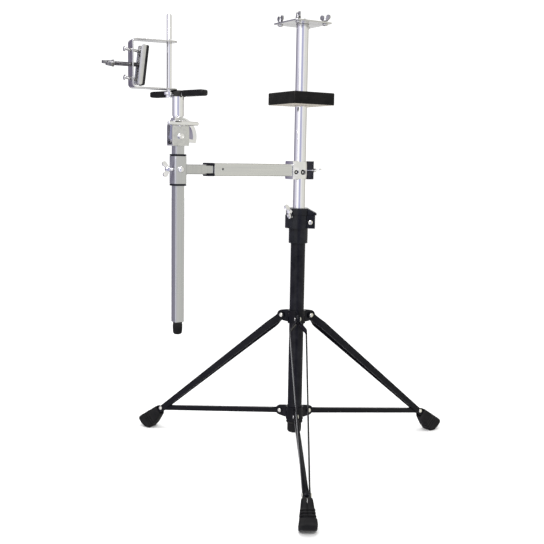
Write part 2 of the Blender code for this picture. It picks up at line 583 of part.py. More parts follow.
def bracket_clamp(swivel, chrome, zinc, rubber):
    """The rod, the strip bracket that slides on it, and the pressure plate that a wing screw drives."""
    rod_x, rod_y = rod_place()
    turning = empty("rod_turn", swivel, (rod_x, rod_y, 0), (0, 0, BRACKET_AZIMUTH - FORK_AZIMUTH))
    top = ROD_TOP - FORK_Z
    outline = [(0, -7.5), (6.5, -7.5), (6.5, -3.0), (ROD_RADIUS, -3.0)]
    outline += [(ROD_RADIUS, top - 1), (ROD_RADIUS - 1, top), (0, top)]
    solid("clamp_rod", turned(outline, MEDIUM), chrome, turning)

    slide = empty("bracket_slide", turning)
    low, high, thick = BRACKET_BOTTOM - FORK_Z, BRACKET_TOP - FORK_Z, BRACKET_THICKNESS
    far, near, bend, half = BRACKET_REACH + thick / 2, -BRACKET_WIDTH / 2, 8.0, BRACKET_WIDTH / 2
    outer = [(near, low)] + arc((far - bend, low + bend), bend, -90, 0, 5)
    outer += arc((far - bend, high - bend), bend, 0, 90, 5) + [(near, high)]
    inner = [(near, high - thick)] + arc((far - bend, high - bend), bend - thick, 90, 0, 5)
    inner += arc((far - bend, low + bend), bend - thick, 0, -90, 5) + [(near, low + thick)]
    made = solid("u_bracket", prism(outer + inner, -half, half), chrome, slide)
    beyond = [(0, -half - 5), (-30, -half - 5), (-30, half + 5), (0, half + 5)]
    cut(made, flat(arc((0, 0), half, 90, 270, 10) + beyond, low - 5, high + 5))
    cut(made, rod(ROD_RADIUS + GAP, low - 5, high + 5, MEDIUM))
    for z, radius in ((SCREW_Z, 4.4), (UPPER_PIN_Z, 4.3), (LOWER_PIN_Z, 4.3)):
        cut(made, moved(rod(radius, 0, 40, COARSE), (BRACKET_REACH - 20, 0, z - FORK_Z), (0, 90, 0)))

    press = empty("press_slide", slide, (0, 0, SCREW_Z - FORK_Z))
    seat = PLATE_BACK - PLATE_DEPTH + 2.0
    rocked = empty("press_lean", press, (seat, 0, 0), (0, -PLATE_LEAN, 0))
    bottom, top = PRESSURE_BOTTOM - SCREW_Z, PRESSURE_TOP - SCREW_Z
    channel = solid("pressure_plate", box(-2.0, PLATE_DEPTH - 2.0, -13, 13, bottom, top), zinc, rocked)
    cut(channel, box(0, 30, -11.2, 11.2, bottom - 5, top + 5))
    pad = box(-2.0 - GAP - PAD_THICKNESS, -2.0 - GAP, -13.5, 13.5, bottom, top)
    solid("pressure_pad", pad, rubber, rocked)
    lean = math.radians(PLATE_LEAN)
    for name, z in (("guide_pin_upper", UPPER_PIN_Z), ("guide_pin_lower", LOWER_PIN_Z)):
        across, above = BRACKET_REACH - seat, z - SCREW_Z
        rise = above * math.cos(lean) - across * math.sin(lean)
        head = across * math.cos(lean) + above * math.sin(lean) + 11.0
        shape = [(0, GAP), (2.6, GAP), (2.6, head), (5.2, head), (5.2, head + 2.4), (0, head + 3.4)]
        solid(name, turned(shape, COARSE), zinc, rocked, (0, 0, rise), (0, 90, 0))
    hub = BRACKET_REACH + 32
    pivot = empty("clamp_screw_turn", press, (hub, 0, 0), (0, 90, 0))
    shank = hub - (seat + 0.9)
    winged("clamp_wing_screw", zinc, pivot, 78, (6.5, 10.0), 45.0, 20.0, shank=(4.0, shank))


def centre_on_floor(root):
    """Moves the root so that the bottom centre of the bounding box is the world origin."""
    bpy.context.view_layer.update()
    graph = bpy.context.evaluated_depsgraph_get()
    low, high = Vector((9, 9, 9)), Vector((-9, -9, -9))
    for item in bpy.data.objects:
        if item.type != "MESH" or item.hide_render:
            continue
        shape = item.evaluated_get(graph)
        mesh = shape.to_mesh()
        for vert in mesh.vertices:
            point = shape.matrix_world @ vert.co
            low = Vector(map(min, low, point))
            high = Vector(map(max, high, point))
        shape.to_mesh_clear()
    root.location = (-(low.x + high.x) / 2, -(low.y + high.y) / 2, -low.z)


def main():
    for item in list(bpy.data.objects):
        bpy.data.objects.remove(item)
    chrome = material("chrome", (0.80, 0.80, 0.82), 0.12, 1.0)
    satin = material("satin_steel", (0.62, 0.63, 0.64), 0.38, 1.0)
    zinc = material("zinc_steel", (0.55, 0.55, 0.55), 0.42, 1.0)
    black = material("black_powder_coat", (0.02, 0.02, 0.022), 0.45)
    cast = material("black_cast", (0.015, 0.015, 0.017), 0.35)
    nylon = material("black_nylon", (0.02, 0.02, 0.02), 0.55)
    rubber = material("black_rubber", (0.025, 0.025, 0.025), 0.8)
    foam = material("black_foam", (0.03, 0.03, 0.03), 0.95)

    root = empty("stand", None)
    tripod(root, zinc, black, rubber)
    height_clamp(root, chrome, cast)
    carried = pole(root, chrome, zinc, foam)
    upright = side_arm(carried, chrome, satin, nylon, rubber)
    tilted = tilter(upright, chrome)
    swivel = fork(tilted, chrome, rubber)
    bracket_clamp(swivel, chrome, zinc, rubber)
    centre_on_floor(root)


main()
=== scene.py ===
"""The percussion stand's looks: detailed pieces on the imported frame, surfaces, studio and camera.

Pieces are made in millimetres in a local frame, and part() puts them in the frame's metres.
"""

import json
import math

import bmesh
import bpy
from mathutils import Matrix, Vector, noise


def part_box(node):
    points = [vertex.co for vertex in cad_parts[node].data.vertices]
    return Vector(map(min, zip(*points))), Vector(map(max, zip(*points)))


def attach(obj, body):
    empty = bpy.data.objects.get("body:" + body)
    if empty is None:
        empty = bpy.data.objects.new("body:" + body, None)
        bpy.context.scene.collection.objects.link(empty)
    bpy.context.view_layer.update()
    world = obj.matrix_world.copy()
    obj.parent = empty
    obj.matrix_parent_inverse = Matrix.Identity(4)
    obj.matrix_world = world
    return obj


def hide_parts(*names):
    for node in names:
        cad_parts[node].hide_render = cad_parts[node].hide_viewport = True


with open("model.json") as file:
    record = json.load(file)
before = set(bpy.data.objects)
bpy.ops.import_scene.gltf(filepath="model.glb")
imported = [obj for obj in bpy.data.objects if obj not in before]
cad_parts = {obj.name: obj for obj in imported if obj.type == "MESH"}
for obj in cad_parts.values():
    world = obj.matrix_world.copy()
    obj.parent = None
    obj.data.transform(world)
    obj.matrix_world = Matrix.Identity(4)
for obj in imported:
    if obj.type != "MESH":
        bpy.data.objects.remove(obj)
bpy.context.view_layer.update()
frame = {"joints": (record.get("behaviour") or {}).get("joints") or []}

MM = 0.001
GAP = 0.3  # between neighbouring pieces
PLAIN_GRAIN = (60, 60, 60)
JOINTS = {joint["name"]: joint for joint in frame["joints"]}
LEGS = ("front", "right", "left")


# Places on the frame, in millimetres


def extent(node):
    low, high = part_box(node)
    return low / MM, high / MM


def centre(node):
    low, high = extent(node)
    return (low + high) / 2


def heights(node):
    """A node's lowest and highest z."""
    low, high = extent(node)
    return low.z, high.z


def hinge(joint):
    return Vector(JOINTS[joint]["pos_m"]) / MM


def heading(direction):
    return math.degrees(math.atan2(direction[1], direction[0]))


def place(point, azimuth=0.0, pitch=0.0, roll=0.0):
    """A frame at a point, turned about Z, then about its own Y and X, in degrees."""
    turned_z = Matrix.Rotation(math.radians(azimuth), 4, "Z")
    turned_y = Matrix.Rotation(math.radians(pitch), 4, "Y")
    return Matrix.Translation(point) @ turned_z @ turned_y @ Matrix.Rotation(math.radians(roll), 4, "X")


# Shapes: each returns a bmesh in millimetres


def turned(profile, steps=48):
    """Spins (radius, z) points about Z: a ring if the profile stays off the axis, else a solid."""
    mesh = bmesh.new()
    points = [mesh.verts.new((radius, 0.0, z)) for radius, z in profile]
    edges = [mesh.edges.new(pair) for pair in zip(points, points[1:])]
    if min(radius for radius, _ in profile) > 0:
        edges.append(mesh.edges.new((points[-1], points[0])))
    bmesh.ops.spin(
        mesh, geom=points + edges, cent=(0, 0, 0), axis=(0, 0, 1), angle=math.tau, steps=steps, use_merge=True
    )
    bmesh.ops.remove_doubles(mesh, verts=mesh.verts, dist=1e-4)
    bmesh.ops.recalc_face_normals(mesh, faces=mesh.faces)
    return mesh


def rod(radius, bottom, top, steps=40, edge=0.0):
    """A cylinder along Z, with an optional chamfer at both ends."""
    profile = [(0, bottom), (radius - edge, bottom), (radius, bottom + edge)]
    profile += [(radius, top - edge), (radius - edge, top), (0, top)]
    if not edge:
        profile = [(0, bottom), (radius, bottom), (radius, top), (0, top)]
    return turned(profile, steps)


def prism(outline, low, high, up="y"):
    """Extrudes an (x, z) outline along Y, or an (x, y) outline along Z."""
    mesh = bmesh.new()
    spot = (lambda a, b: (a, low, b)) if up == "y" else (lambda a, b: (a, b, low))
    face = mesh.faces.new([mesh.verts.new(spot(a, b)) for a, b in outline])
    raised = bmesh.ops.extrude_face_region(mesh, geom=[face])["geom"]
    away = (0, high - low, 0) if up == "y" else (0, 0, high - low)
    bmesh.ops.translate(mesh, verts=[v for v in raised if isinstance(v, bmesh.types.BMVert)], vec=away)
    bmesh.ops.recalc_face_normals(mesh, faces=mesh.faces)
    return mesh


def box(x0, x1, y0, y1, z0, z1):
    return prism([(x0, y0), (x1, y0), (x1, y1), (x0, y1)], z0, z1, "z")


def arc(middle, radius, start, end, count=12):
    """The points of an arc, with its angles in degrees."""
    angles = [math.radians(start + (end - start) * i / count) for i in range(count + 1)]
    return [(middle[0] + radius * math.cos(a), middle[1] + radius * math.sin(a)) for a in angles]


def rounded(width, depth, radius, steps=6):
    """The points of a rectangle with rounded corners."""
    x, y = width / 2 - radius, depth / 2 - radius
    points = []
    for cx, cy, start in ((x, y, 0), (-x, y, 90), (-x, -y, 180), (x, -y, 270)):
        points += arc((cx, cy), radius, start, start + 90, steps)
    return points


def tube(outer, inner, bottom, top, corner, edge=0.35):
    """A square tube along Z with rounded corners and broken end edges."""
    mesh = bmesh.new()
    bore_corner = max(corner - (outer - inner) / 2, 0.4)
    rings = [(outer - 2 * edge, corner, bottom), (outer, corner, bottom + edge), (outer, corner, top - edge)]
    rings += [(outer - 2 * edge, corner, top), (inner, bore_corner, top), (inner, bore_corner, bottom)]
    loops = [[mesh.verts.new((x, y, z)) for x, y in rounded(side, side, r)] for side, r, z in rings]
    for loop, following in zip(loops, loops[1:] + loops[:1]):
        for i in range(len(loop)):
            j = (i + 1) % len(loop)
            mesh.faces.new((loop[i], loop[j], following[j], following[i]))
    bmesh.ops.recalc_face_normals(mesh, faces=mesh.faces)
    return mesh


def loft(rings):
    """Joins rings of points, all of one length, and closes both ends."""
    mesh = bmesh.new()
    loops = [[mesh.verts.new(point) for point in ring] for ring in rings]
    for loop, following in zip(loops, loops[1:]):
        for i in range(len(loop)):
            j = (i + 1) % len(loop)
            mesh.faces.new((loop[i], loop[j], following[j], following[i]))
    mesh.faces.new(loops[0])
    mesh.faces.new(loops[-1])
    bmesh.ops.recalc_face_normals(mesh, faces=mesh.faces)
    return mesh


def moved(mesh, shift=(0, 0, 0), azimuth=0.0, pitch=0.0, roll=0.0):
    bmesh.ops.transform(mesh, matrix=place(shift, azimuth, pitch, roll), verts=mesh.verts)
    return mesh


def thread(radius, bottom, top, pitch=1.25):
    """The (radius, z) points of a screw thread's side, from bottom to top."""
    count = max(2, int((top - bottom) / pitch))
    step = (top - bottom) / count
    points = [(radius - 0.6, bottom)]
    for i in range(count):
        points += [(radius, bottom + (i + 0.5) * step), (radius - 0.6, bottom + (i + 1) * step)]
    return points


def bead(radius, z, size=1.6):
    """A weld bead round a tube."""
    angles = [i * math.tau / 10 for i in range(10)]
    return turned([(radius + size * math.cos(a), z + size * math.sin(a)) for a in angles], 64)


# Pieces


def linked(name, data):
    made = bpy.data.objects.new(name, data)
    bpy.context.scene.collection.objects.link(made)
    return made


def raw(mesh):
    """A helper object from a bmesh."""
    data = bpy.data.meshes.new("shape")
    mesh.to_mesh(data)
    mesh.free()
    return linked("shape", data)


def combine(made, operation, other):
    change = made.modifiers.new("change", "BOOLEAN")
    change.operation, change.solver, change.object = operation, "EXACT", other


def soften(made, width, segments, angle):
    """Bevels the edges that turn by more than an angle in radians."""
    edge = made.modifiers.new("edge", "BEVEL")
    edge.width, edge.segments = width, segments
    edge.limit_method, edge.angle_limit = "ANGLE", angle


def final(made):
    """The object's mesh with its modifiers applied; the object itself is removed."""
    graph = bpy.context.evaluated_depsgraph_get()
    data = bpy.data.meshes.new_from_object(made.evaluated_get(graph), depsgraph=graph)
    bpy.data.objects.remove(made)
    return data


def part(
    name, mesh, where, body, look, nodes=(), join=(), cut=(), bevel=0.5, segments=2, sharp=40
):
    """Makes a piece from a local shape, and puts it on its body in place of its CAD nodes."""
    made = raw(mesh)
    helpers = []
    for operation, shapes in (("UNION", join), ("DIFFERENCE", cut)):
        for shape in shapes:
            helpers.append(raw(shape))
            combine(made, operation, helpers[-1])
    if bevel:
        soften(made, bevel, segments, math.radians(34))
    data = final(made)
    for helper in helpers:
        bpy.data.objects.remove(helper)
    data.transform(Matrix.Scale(MM, 4) @ where)
    data.name = name
    data.materials.clear()
    data.materials.append(look)
    data.shade_smooth()
    data.set_sharp_from_angle(angle=math.radians(sharp))
    made = linked(name, data)
    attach(made, body)
    if nodes:
        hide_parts(*nodes)
    return made


# Surfaces


def surface(
    name, base, tint, rough, metallic=0.0, grain=PLAIN_GRAIN, turn=0.0, bump=0.15, depth=0.0002,
    fine=900, edge_wear_and_highlight=None, sheen=0.0, cells=0.0, specular=0.5, under=None,
):
    """A procedural material.

    base and tint mottle the colour along a grain that is turned by degrees about Z, and rough is a range.
    The bump is cells where given, else noise of scale fine. The edge colour, given as (colour, strength), is
    mixed in along the edges by pointiness: real wear on some materials and a painted highlight on others,
    and under is the colour of the faces that look down.
    """
    made = bpy.data.materials.new(name)
    made.use_nodes = True
    tree = made.node_tree
    shader = tree.nodes["Principled BSDF"]
    link = tree.links.new

    def node(kind, **inputs):
        new = tree.nodes.new(kind)
        for key, value in inputs.items():
            new.inputs[key.replace("_", " ")].default_value = value
        return new

    def mixed(first, second, amount):
        """Mixes first, a colour or an output, with a colour. A Mix node's colour sockets go by number."""
        new = node("ShaderNodeMix")
        new.data_type = "RGBA"
        if isinstance(first, tuple):
            new.inputs[6].default_value = (*first, 1)
        else:
            link(first, new.inputs[6])
        new.inputs[7].default_value = (*second, 1)
        link(amount, new.inputs[0])
        return new.outputs[2]

    spot = tree.nodes.new("ShaderNodeTexCoord").outputs["Object"]
    aligned = node("ShaderNodeMapping", Rotation=(0, 0, math.radians(-turn)))
    link(spot, aligned.inputs["Vector"])
    mapping = node("ShaderNodeMapping", Scale=grain)
    link(aligned.outputs["Vector"], mapping.inputs["Vector"])
    mottle = node("ShaderNodeTexNoise", Scale=1.0, Detail=5.0, Roughness=0.6)
    link(mapping.outputs["Vector"], mottle.inputs["Vector"])
    blotch = node("ShaderNodeTexNoise", Scale=14.0, Detail=3.0, Roughness=0.55)
    link(spot, blotch.inputs["Vector"])

    spread = node("ShaderNodeMapRange", From_Min=0.3, From_Max=0.7)
    link(mottle.outputs["Fac"], spread.inputs["Value"])
    painted = mixed(base, tint, spread.outputs["Result"])
    smoothest, roughest = rough
    roughness = node("ShaderNodeMapRange", From_Min=0.3, From_Max=0.7, To_Min=smoothest, To_Max=roughest)
    link(blotch.outputs["Fac"], roughness.inputs["Value"])
    # Edges found by pointiness get a lighter colour: a painted highlight on the black paint and the black
    # casting, a worn edge with a painted highlight on the foam, and dusty wear on the rubber.
    if edge_wear_and_highlight:
        edge_colour, strength = edge_wear_and_highlight
        found = node("ShaderNodeMapRange", From_Min=0.52, From_Max=0.6, To_Max=strength)
        link(tree.nodes.new("ShaderNodeNewGeometry").outputs["Pointiness"], found.inputs["Value"])
        edge_amount = node("ShaderNodeMath")
        edge_amount.operation = "MULTIPLY"
        link(found.outputs["Result"], edge_amount.inputs[0])
        link(spread.outputs["Result"], edge_amount.inputs[1])
        painted = mixed(painted, edge_colour, edge_amount.outputs["Value"])
    if under:
        facing = node("ShaderNodeSeparateXYZ")
        link(tree.nodes.new("ShaderNodeNewGeometry").outputs["Normal"], facing.inputs["Vector"])
        down = node("ShaderNodeMapRange", From_Min=-0.7, From_Max=-0.95)
        link(facing.outputs["Z"], down.inputs["Value"])
        painted = mixed(painted, under, down.outputs["Result"])
    link(painted, shader.inputs["Base Color"])
    link(roughness.outputs["Result"], shader.inputs["Roughness"])

    if cells:
        pores = node("ShaderNodeTexVoronoi", Scale=cells)
        link(spot, pores.inputs["Vector"])
        height = pores.outputs["Distance"]
    else:
        texture = node("ShaderNodeTexNoise", Scale=float(fine), Detail=2.0)
        link(spot, texture.inputs["Vector"])
        height = texture.outputs["Fac"]
    raised = node("ShaderNodeBump", Strength=bump, Distance=depth)
    link(height, raised.inputs["Height"])
    if grain != PLAIN_GRAIN:
        lines = node("ShaderNodeBump", Strength=bump, Distance=depth)
        link(mottle.outputs["Fac"], lines.inputs["Height"])
        link(raised.outputs["Normal"], lines.inputs["Normal"])
        raised = lines
    link(raised.outputs["Normal"], shader.inputs["Normal"])
    shader.inputs["Metallic"].default_value = metallic
    shader.inputs["Sheen Weight"].default_value = sheen
    shader.inputs["Specular IOR Level"].default_value = specular
    return made


ARM_TURN = heading(JOINTS["arm_extend"]["axis"])
CHROME = surface(
    "chrome", (0.86, 0.86, 0.89), (0.93, 0.92, 0.91), (0.03, 0.09), 1.0, (110, 110, 45), bump=0.16,
    depth=0.0004, fine=60,
)
STEEL = surface(
    "satin_steel_upright", (0.54, 0.55, 0.57), (0.66, 0.66, 0.66), (0.24, 0.34), 1.0, (900, 900, 6), ARM_TURN,
    bump=0.05, depth=0.00005,
)
STEEL_ARM = surface(
    "satin_steel_arm", (0.66, 0.66, 0.67), (0.78, 0.78, 0.76), (0.24, 0.36), 1.0, (6, 900, 900), ARM_TURN,
    bump=0.05, depth=0.00005,
)
ZINC = surface(
    "zinc_plate", (0.58, 0.58, 0.59), (0.72, 0.71, 0.69), (0.2, 0.34), 1.0, bump=0.12, fine=500,
)
CAST_CHROME = surface(
    "cast_chrome", (0.60, 0.60, 0.61), (0.74, 0.74, 0.73), (0.10, 0.2), 1.0, (150, 150, 150), bump=0.3,
    depth=0.0005, fine=90,
)
CAST_ZINC = surface(
    "cast_zinc", (0.34, 0.34, 0.35), (0.55, 0.55, 0.55), (0.2, 0.32), 1.0, bump=0.15, fine=500,
)
DARK_STEEL = surface(
    "dark_zinc", (0.16, 0.16, 0.17), (0.30, 0.29, 0.29), (0.22, 0.36), 1.0, bump=0.12, fine=500,
)
RIVET = surface(
    "rivet_steel", (0.80, 0.79, 0.70), (0.90, 0.88, 0.80), (0.20, 0.34), 1.0, bump=0.1, fine=500,
)
# The lighter edge colour of the powder coat is a painted highlight along its bevels.
PAINT = surface(
    "black_powder_coat", (0.002, 0.002, 0.004), (0.004, 0.004, 0.006), (0.19, 0.25), bump=0.15, depth=0.0001,
    fine=1400, edge_wear_and_highlight=((0.04, 0.04, 0.05), 0.35), specular=0.14,
)
# The lighter edge colour of the black casting is a painted highlight along its bevels.
CAST = surface(
    "black_cast", (0.002, 0.002, 0.004), (0.004, 0.004, 0.006), (0.15, 0.22), bump=0.15, depth=0.00012,
    fine=600, edge_wear_and_highlight=((0.03, 0.033, 0.04), 0.3), specular=0.2,
)
NYLON = surface(
    "black_nylon", (0.004, 0.004, 0.008), (0.009, 0.009, 0.014), (0.28, 0.42), bump=0.2, depth=0.0001,
    fine=1100, edge_wear_and_highlight=((0.04, 0.04, 0.05), 0.5), specular=0.13,
)
RUBBER = surface(
    "black_rubber", (0.004, 0.004, 0.005), (0.010, 0.0095, 0.010), (0.4, 0.6), bump=0.35, depth=0.0002,
    fine=800, edge_wear_and_highlight=((0.06, 0.058, 0.055), 0.7), specular=0.12,
)
# The foam's light edge colour is partly a worn cream edge and partly a painted highlight.
FOAM = surface(
    "black_foam", (0.006, 0.006, 0.006), (0.012, 0.0115, 0.011), (0.85, 0.98), bump=0.6, depth=0.0004,
    cells=650, edge_wear_and_highlight=((0.16, 0.15, 0.13), 0.9), sheen=0.02, specular=0.06, under=(0.42, 0.39, 0.34),
)

# Sizes that several pieces share

POLE = centre("pole_tube")
STAND = place((POLE.x, POLE.y, 0))
POLE_BORE, POLE_RADIUS = 11.2, 12.7
POLE_HOLE = POLE_RADIUS + GAP
PLATE_TURN = 34.0  # of the top plate and the foam block about the pole
BASE_BOTTOM, BASE_TOP = heights("base_tube")
BASE_RADIUS = (extent("base_tube")[1].x - extent("base_tube")[0].x) / 2
SHEET_WALL = 1.6  # of the base tube and the outer arm tube
ARM_OUTER, ARM_INNER, INNER_BORE = 25.4, 19.05, 16.05
ARM_CORNER = 3.0


# Tripod

EAR_REACH, EAR_RADIUS, EAR_HALF = 35.0, 11.0, 2.5
FOOT_PIN_REACH, FOOT_PIN_Z = 353.5, 51.6


def leg_heading(leg):
    """The azimuth from the pole to the leg's rivet."""
    return heading(hinge(f"leg_{leg}_fold") - POLE)


def base():
    bore = BASE_RADIUS - SHEET_WALL
    wall = [(bore, BASE_BOTTOM), (BASE_RADIUS - 0.4, BASE_BOTTOM), (BASE_RADIUS, BASE_BOTTOM + 0.4)]
    wall += [(BASE_RADIUS, BASE_TOP - 0.4), (BASE_RADIUS - 0.4, BASE_TOP), (bore, BASE_TOP)]
    part("base_tube_look", turned(wall, 96), STAND, "base", PAINT, ["base_tube"], bevel=0)
    low, _ = heights("base_end_cap")
    cap = [(0, low + 0.6), (2.4, low + 0.5), (3.0, low)] + arc((10.6, low + 4.7), 4.7, 270, 350, 8)
    cap += [(15.3, low + 10), (15.3, low + 16.0), (14.8, low + 16.4), (15.3, low + 16.8)]
    cap += [(15.3, BASE_BOTTOM - 3), (17.4, BASE_BOTTOM - 3), (18.0, BASE_BOTTOM - 2.4)]
    cap += [(18.0, BASE_BOTTOM - 0.9), (17.5, BASE_BOTTOM - GAP)]
    cap += [(bore - 1, BASE_BOTTOM - GAP), (0, BASE_BOTTOM - GAP)]
    part(
        "base_end_cap_look", turned(cap, 80), STAND, "base", RUBBER, ["base_end_cap"], bevel=0
    )


def collar(name, z, body, node):
    """A stamped collar with rolled lips, and an ear for each leg."""
    inner, outer, half = BASE_RADIUS + GAP, BASE_RADIUS + GAP + 2.2, 14.0
    ring = [(inner, -half), (outer + 0.9, -half), (outer + 0.9, -half + 2.2), (outer, -half + 3.2)]
    ring += [(r, -h) for r, h in reversed(ring)]
    ears = []
    for leg in LEGS:
        root = inner + 1.0
        outline = [(root, -half + 1), (24.0, -half + 1)] + arc((EAR_REACH, 0), EAR_RADIUS, -76, 76, 20)
        outline += [(24.0, half - 1), (root, half - 1)]
        ears.append(moved(prism(outline, -EAR_HALF, EAR_HALF), azimuth=leg_heading(leg)))
        gusset = prism([(root, -9), (outer + 4.5, -7), (outer + 4.5, 7), (root, 9)], -4.6, 4.6)
        ears.append(moved(gusset, azimuth=leg_heading(leg)))
    where = place((POLE.x, POLE.y, z))
    part(name, turned(ring, 72), where, body, PAINT, [node], join=ears, bevel=0.6)


def rivet(name, where, body, node, grip, head=4.6):
    """A tubular rivet with a domed head, a washer under it and a rolled far end."""
    dome = [(0, grip + 1.9), (1.6, grip + 1.8), (3.1, grip + 1.4), (4.1, grip + 0.8)]
    dome += [(head, grip + 0.25), (head, grip)]
    rolled = [(3.0, grip), (3.0, -grip), (head, -grip), (head - 0.2, -grip - 0.8), (3.4, -grip - 1.7)]
    rolled += [(2.2, -grip - 1.9), (1.4, -grip - 1.2), (0, -grip - 1.0)]
    part(name, turned(dome + rolled, 32), where, body, RIVET, [node], bevel=0)


def strap(name, where, side, length, body, node):
    """One flat strap of a leg, with its jog under the rivet, its straight run and its tail in the boot."""
    half, spread, foot_side = 1.25, 17.0, 6.3
    near = EAR_HALF + GAP + half
    eye = 7.6
    angles = (0.15, 0.4, 0.7, 1.0, 1.3)
    run = [(-eye * math.cos(a), near, -eye * math.sin(a), eye * math.sin(a)) for a in angles]
    run += [(0, near, -7.8, 7.6), (11, near, -8.4, 7.0), (13.5, near + 0.5, -8.6, 6.9)]
    run += [(31.5, spread - 0.6, -9.3, 5.8), (34.5, spread, -9.4, 5.6)]
    run += [(length - 18, foot_side + 0.2, -8.2, 4.7), (length - 14, foot_side, -8.2, 4.8)]
    run += [(length + 8, foot_side, -8.2, 4.6), (length + 28, foot_side, -6.2, 4.2)]
    rings = []
    for x, y, bottom, top in run:
        low, high = sorted((side * (y - half), side * (y + half)))
        rings.append([(x, low, bottom), (x, high, bottom), (x, high, top), (x, low, top)])
    head = [(0, 1.3), (4.4, 1.3), (4.4, 1.6), (3.8, 2.5), (2.4, 3.1), (0, 3.25)]
    head = moved(turned(head, 28), (length, side * foot_side, 0), roll=-90 * side)
    part(name, loft(rings), where, body, PAINT, [node], bevel=0.55, segments=3)
    part(f"{name}_pin", head, where, body, RIVET, bevel=0)


def boot(name, where, body, node):
    """A moulded rubber boot: a hollow mouth, a slit above for the brace, three ribs and a heavy toe."""
    # along the leg, half width, lowest and highest z
    stations = [
        (9.0, 8.8, -11.5, 9.2), (9.6, 9.9, -12.4, 10.6), (12.0, 10.7, -13.2, 11.2),
        (16, 11.2, -14.4, 11.5), (22, 11.8, -16.4, 12.0), (28, 12.3, -18.2, 12.4),
        (31, 12.8, -18.9, 12.7), (32.2, 13.6, -19.4, 13.2), (34.2, 13.7, -20.0, 13.3),
        (35.4, 11.5, -18.4, 11.4), (37.0, 11.7, -18.8, 11.6), (38.2, 14.0, -20.8, 13.6),
        (40.2, 14.1, -21.1, 13.7), (41.4, 11.9, -19.4, 11.8), (43.0, 12.1, -19.7, 12.0),
        (44.2, 14.4, -21.4, 14.0), (46.2, 14.7, -21.7, 14.2), (47.4, 12.5, -20.4, 12.3),
        (49.0, 13.0, -20.7, 12.6), (51.0, 15.9, -22.4, 14.6), (54.0, 16.2, -22.6, 14.9),
        (58.0, 16.4, -19.4, 15.0), (61.5, 16.5, -16.4, 15.0), (64.0, 16.3, -10.0, 14.6),
        (65.8, 15.6, -5.2, 13.2), (66.9, 14.2, -2.2, 9.6), (67.6, 11.5, -0.6, 6.0),
        (68.1, 8.0, 0.4, 3.4),
    ]
    rings = []
    for x, half, low, high in stations:
        corner = min(5.5, (high - low) / 2.2, half / 1.3)
        ring = rounded(2 * half, high - low, corner, 5)
        rings.append([(x, y, z + (low + high) / 2) for y, z in ring])
    mouth = box(0, 27, -7.85, 7.85, -10.3, 8.6)
    slit = box(0, 47, -0.35, 0.35, 6, 30)
    part(
        name, loft(rings), where, body, RUBBER, [node], cut=[mouth, slit], bevel=0.35,
        sharp=55,
    )


def brace(name, where, length, body, node):
    """A folded channel with flattened eyes at both ends."""
    half, wide, wall = 5.5, 4.3, 1.5
    outline = arc((0, 0), half, 90, 270, 14) + arc((length, 0), half, -90, 90, 14)
    inside = wide - wall
    hollow = box(17, length - 12, -inside, inside, -20, half - wall)
    fork = box(-20, 18, -inside, inside, -20, 20)
    part(
        name, prism(outline, -wide, wide), where, body, PAINT, [node], cut=[hollow, fork],
        bevel=0.7, segments=3,
    )


def tripod():
    base()
    upper = hinge("leg_front_fold").z
    lower = hinge("brace_front_swing").z
    collar("upper_leg_collar_look", upper, "base", "upper_leg_collar")
    collar("lower_leg_collar_look", lower, "lower_collar", "lower_leg_collar")
    for leg in LEGS:
        turn = leg_heading(leg)
        shoulder, hip = hinge(f"leg_{leg}_fold"), hinge(f"brace_{leg}_swing")
        run = FOOT_PIN_REACH - EAR_REACH
        drop, low_drop = upper - FOOT_PIN_Z, lower - FOOT_PIN_Z
        length, low_length = math.hypot(run, drop), math.hypot(run, low_drop)
        down = place(shoulder, turn, math.degrees(math.atan2(drop, run)))
        across = place(hip, turn, math.degrees(math.atan2(low_drop, run)))
        rivet(f"upper_rivet_{leg}_look", place(shoulder, turn, 0, 90), "base", f"upper_rivet_{leg}", 5.6)
        rivet(f"lower_rivet_{leg}_look", place(hip, turn, 0, 90), "lower_collar", f"lower_rivet_{leg}", 4.6)
        for letter, side in (("a", 1), ("b", -1)):
            node = f"leg_strap_{leg}_{letter}"
            strap(f"{node}_look", down, side, length, f"leg_{leg}", node)
        boot(f"foot_{leg}_look", down @ place((length, 0, 0)), f"leg_{leg}", f"foot_{leg}")
        brace(f"brace_{leg}_look", across, low_length, f"brace_{leg}", f"brace_{leg}")


tripod()


# Wing nuts and bolts


def wings(span, height, lobe, waist, thick):
    """Two ears that flare from a narrow waist to round lobes, thickest at the lobes' rims."""
    middle = (span / 2 - lobe, height - lobe)
    right = [(waist, 0.2)] + arc(middle, lobe, -62, 150, 14) + [(waist * 0.45, height * 0.42)]
    outline = right + [(-x, z) for x, z in reversed(right)]
    return prism(outline, -thick / 2, thick / 2)


def winged(
    name, where, body, look, node, hub, span, height, turn, shank=None, bore=None, lobe=None,
    waist=None, thick=3.2,
):
    """A cast wing nut or bolt along Z: hub is (radius, height), and shank is (radius, length) below it."""
    radius, tall = hub
    collar_edge = [(radius - 0.5, 0), (radius, 0.5), (radius, 1.6), (radius * 0.92, 2.2)]
    crown = [(radius * 0.74, tall - 0.8), (radius * 0.6, tall)]
    if bore:
        profile = [(bore, 0)] + collar_edge + crown + [(bore, tall)]
    else:
        profile = [(0, 0)] + collar_edge + crown + [(0, tall)]
    body_mesh = turned(profile, 36)
    ears = wings(span, height, lobe or span * 0.16, waist or radius * 0.85, thick)
    cuts = [rod(bore, -5, height + 5, 32)] if bore else []
    joins = [moved(ears, azimuth=turn)]
    if shank:
        side = thread(shank[0], -shank[1], -2.0) + [(shank[0] - 0.7, -1.9), (shank[0] - 0.7, 0.6)]
        joins.append(turned([(0, -shank[1])] + side + [(0, 0.6)], 28))
    part(
        name, body_mesh, where, body, look, [node], join=joins, cut=cuts, bevel=0.7, segments=3,
        sharp=50,
    )


def bolt_head(radius, height, sides=6):
    """A faceted head or socket, seated at Z = 0."""
    angles = [i * math.tau / sides for i in range(sides)]
    return prism([(radius * math.cos(a), radius * math.sin(a)) for a in angles], 0, height, "z")


# Height clamp


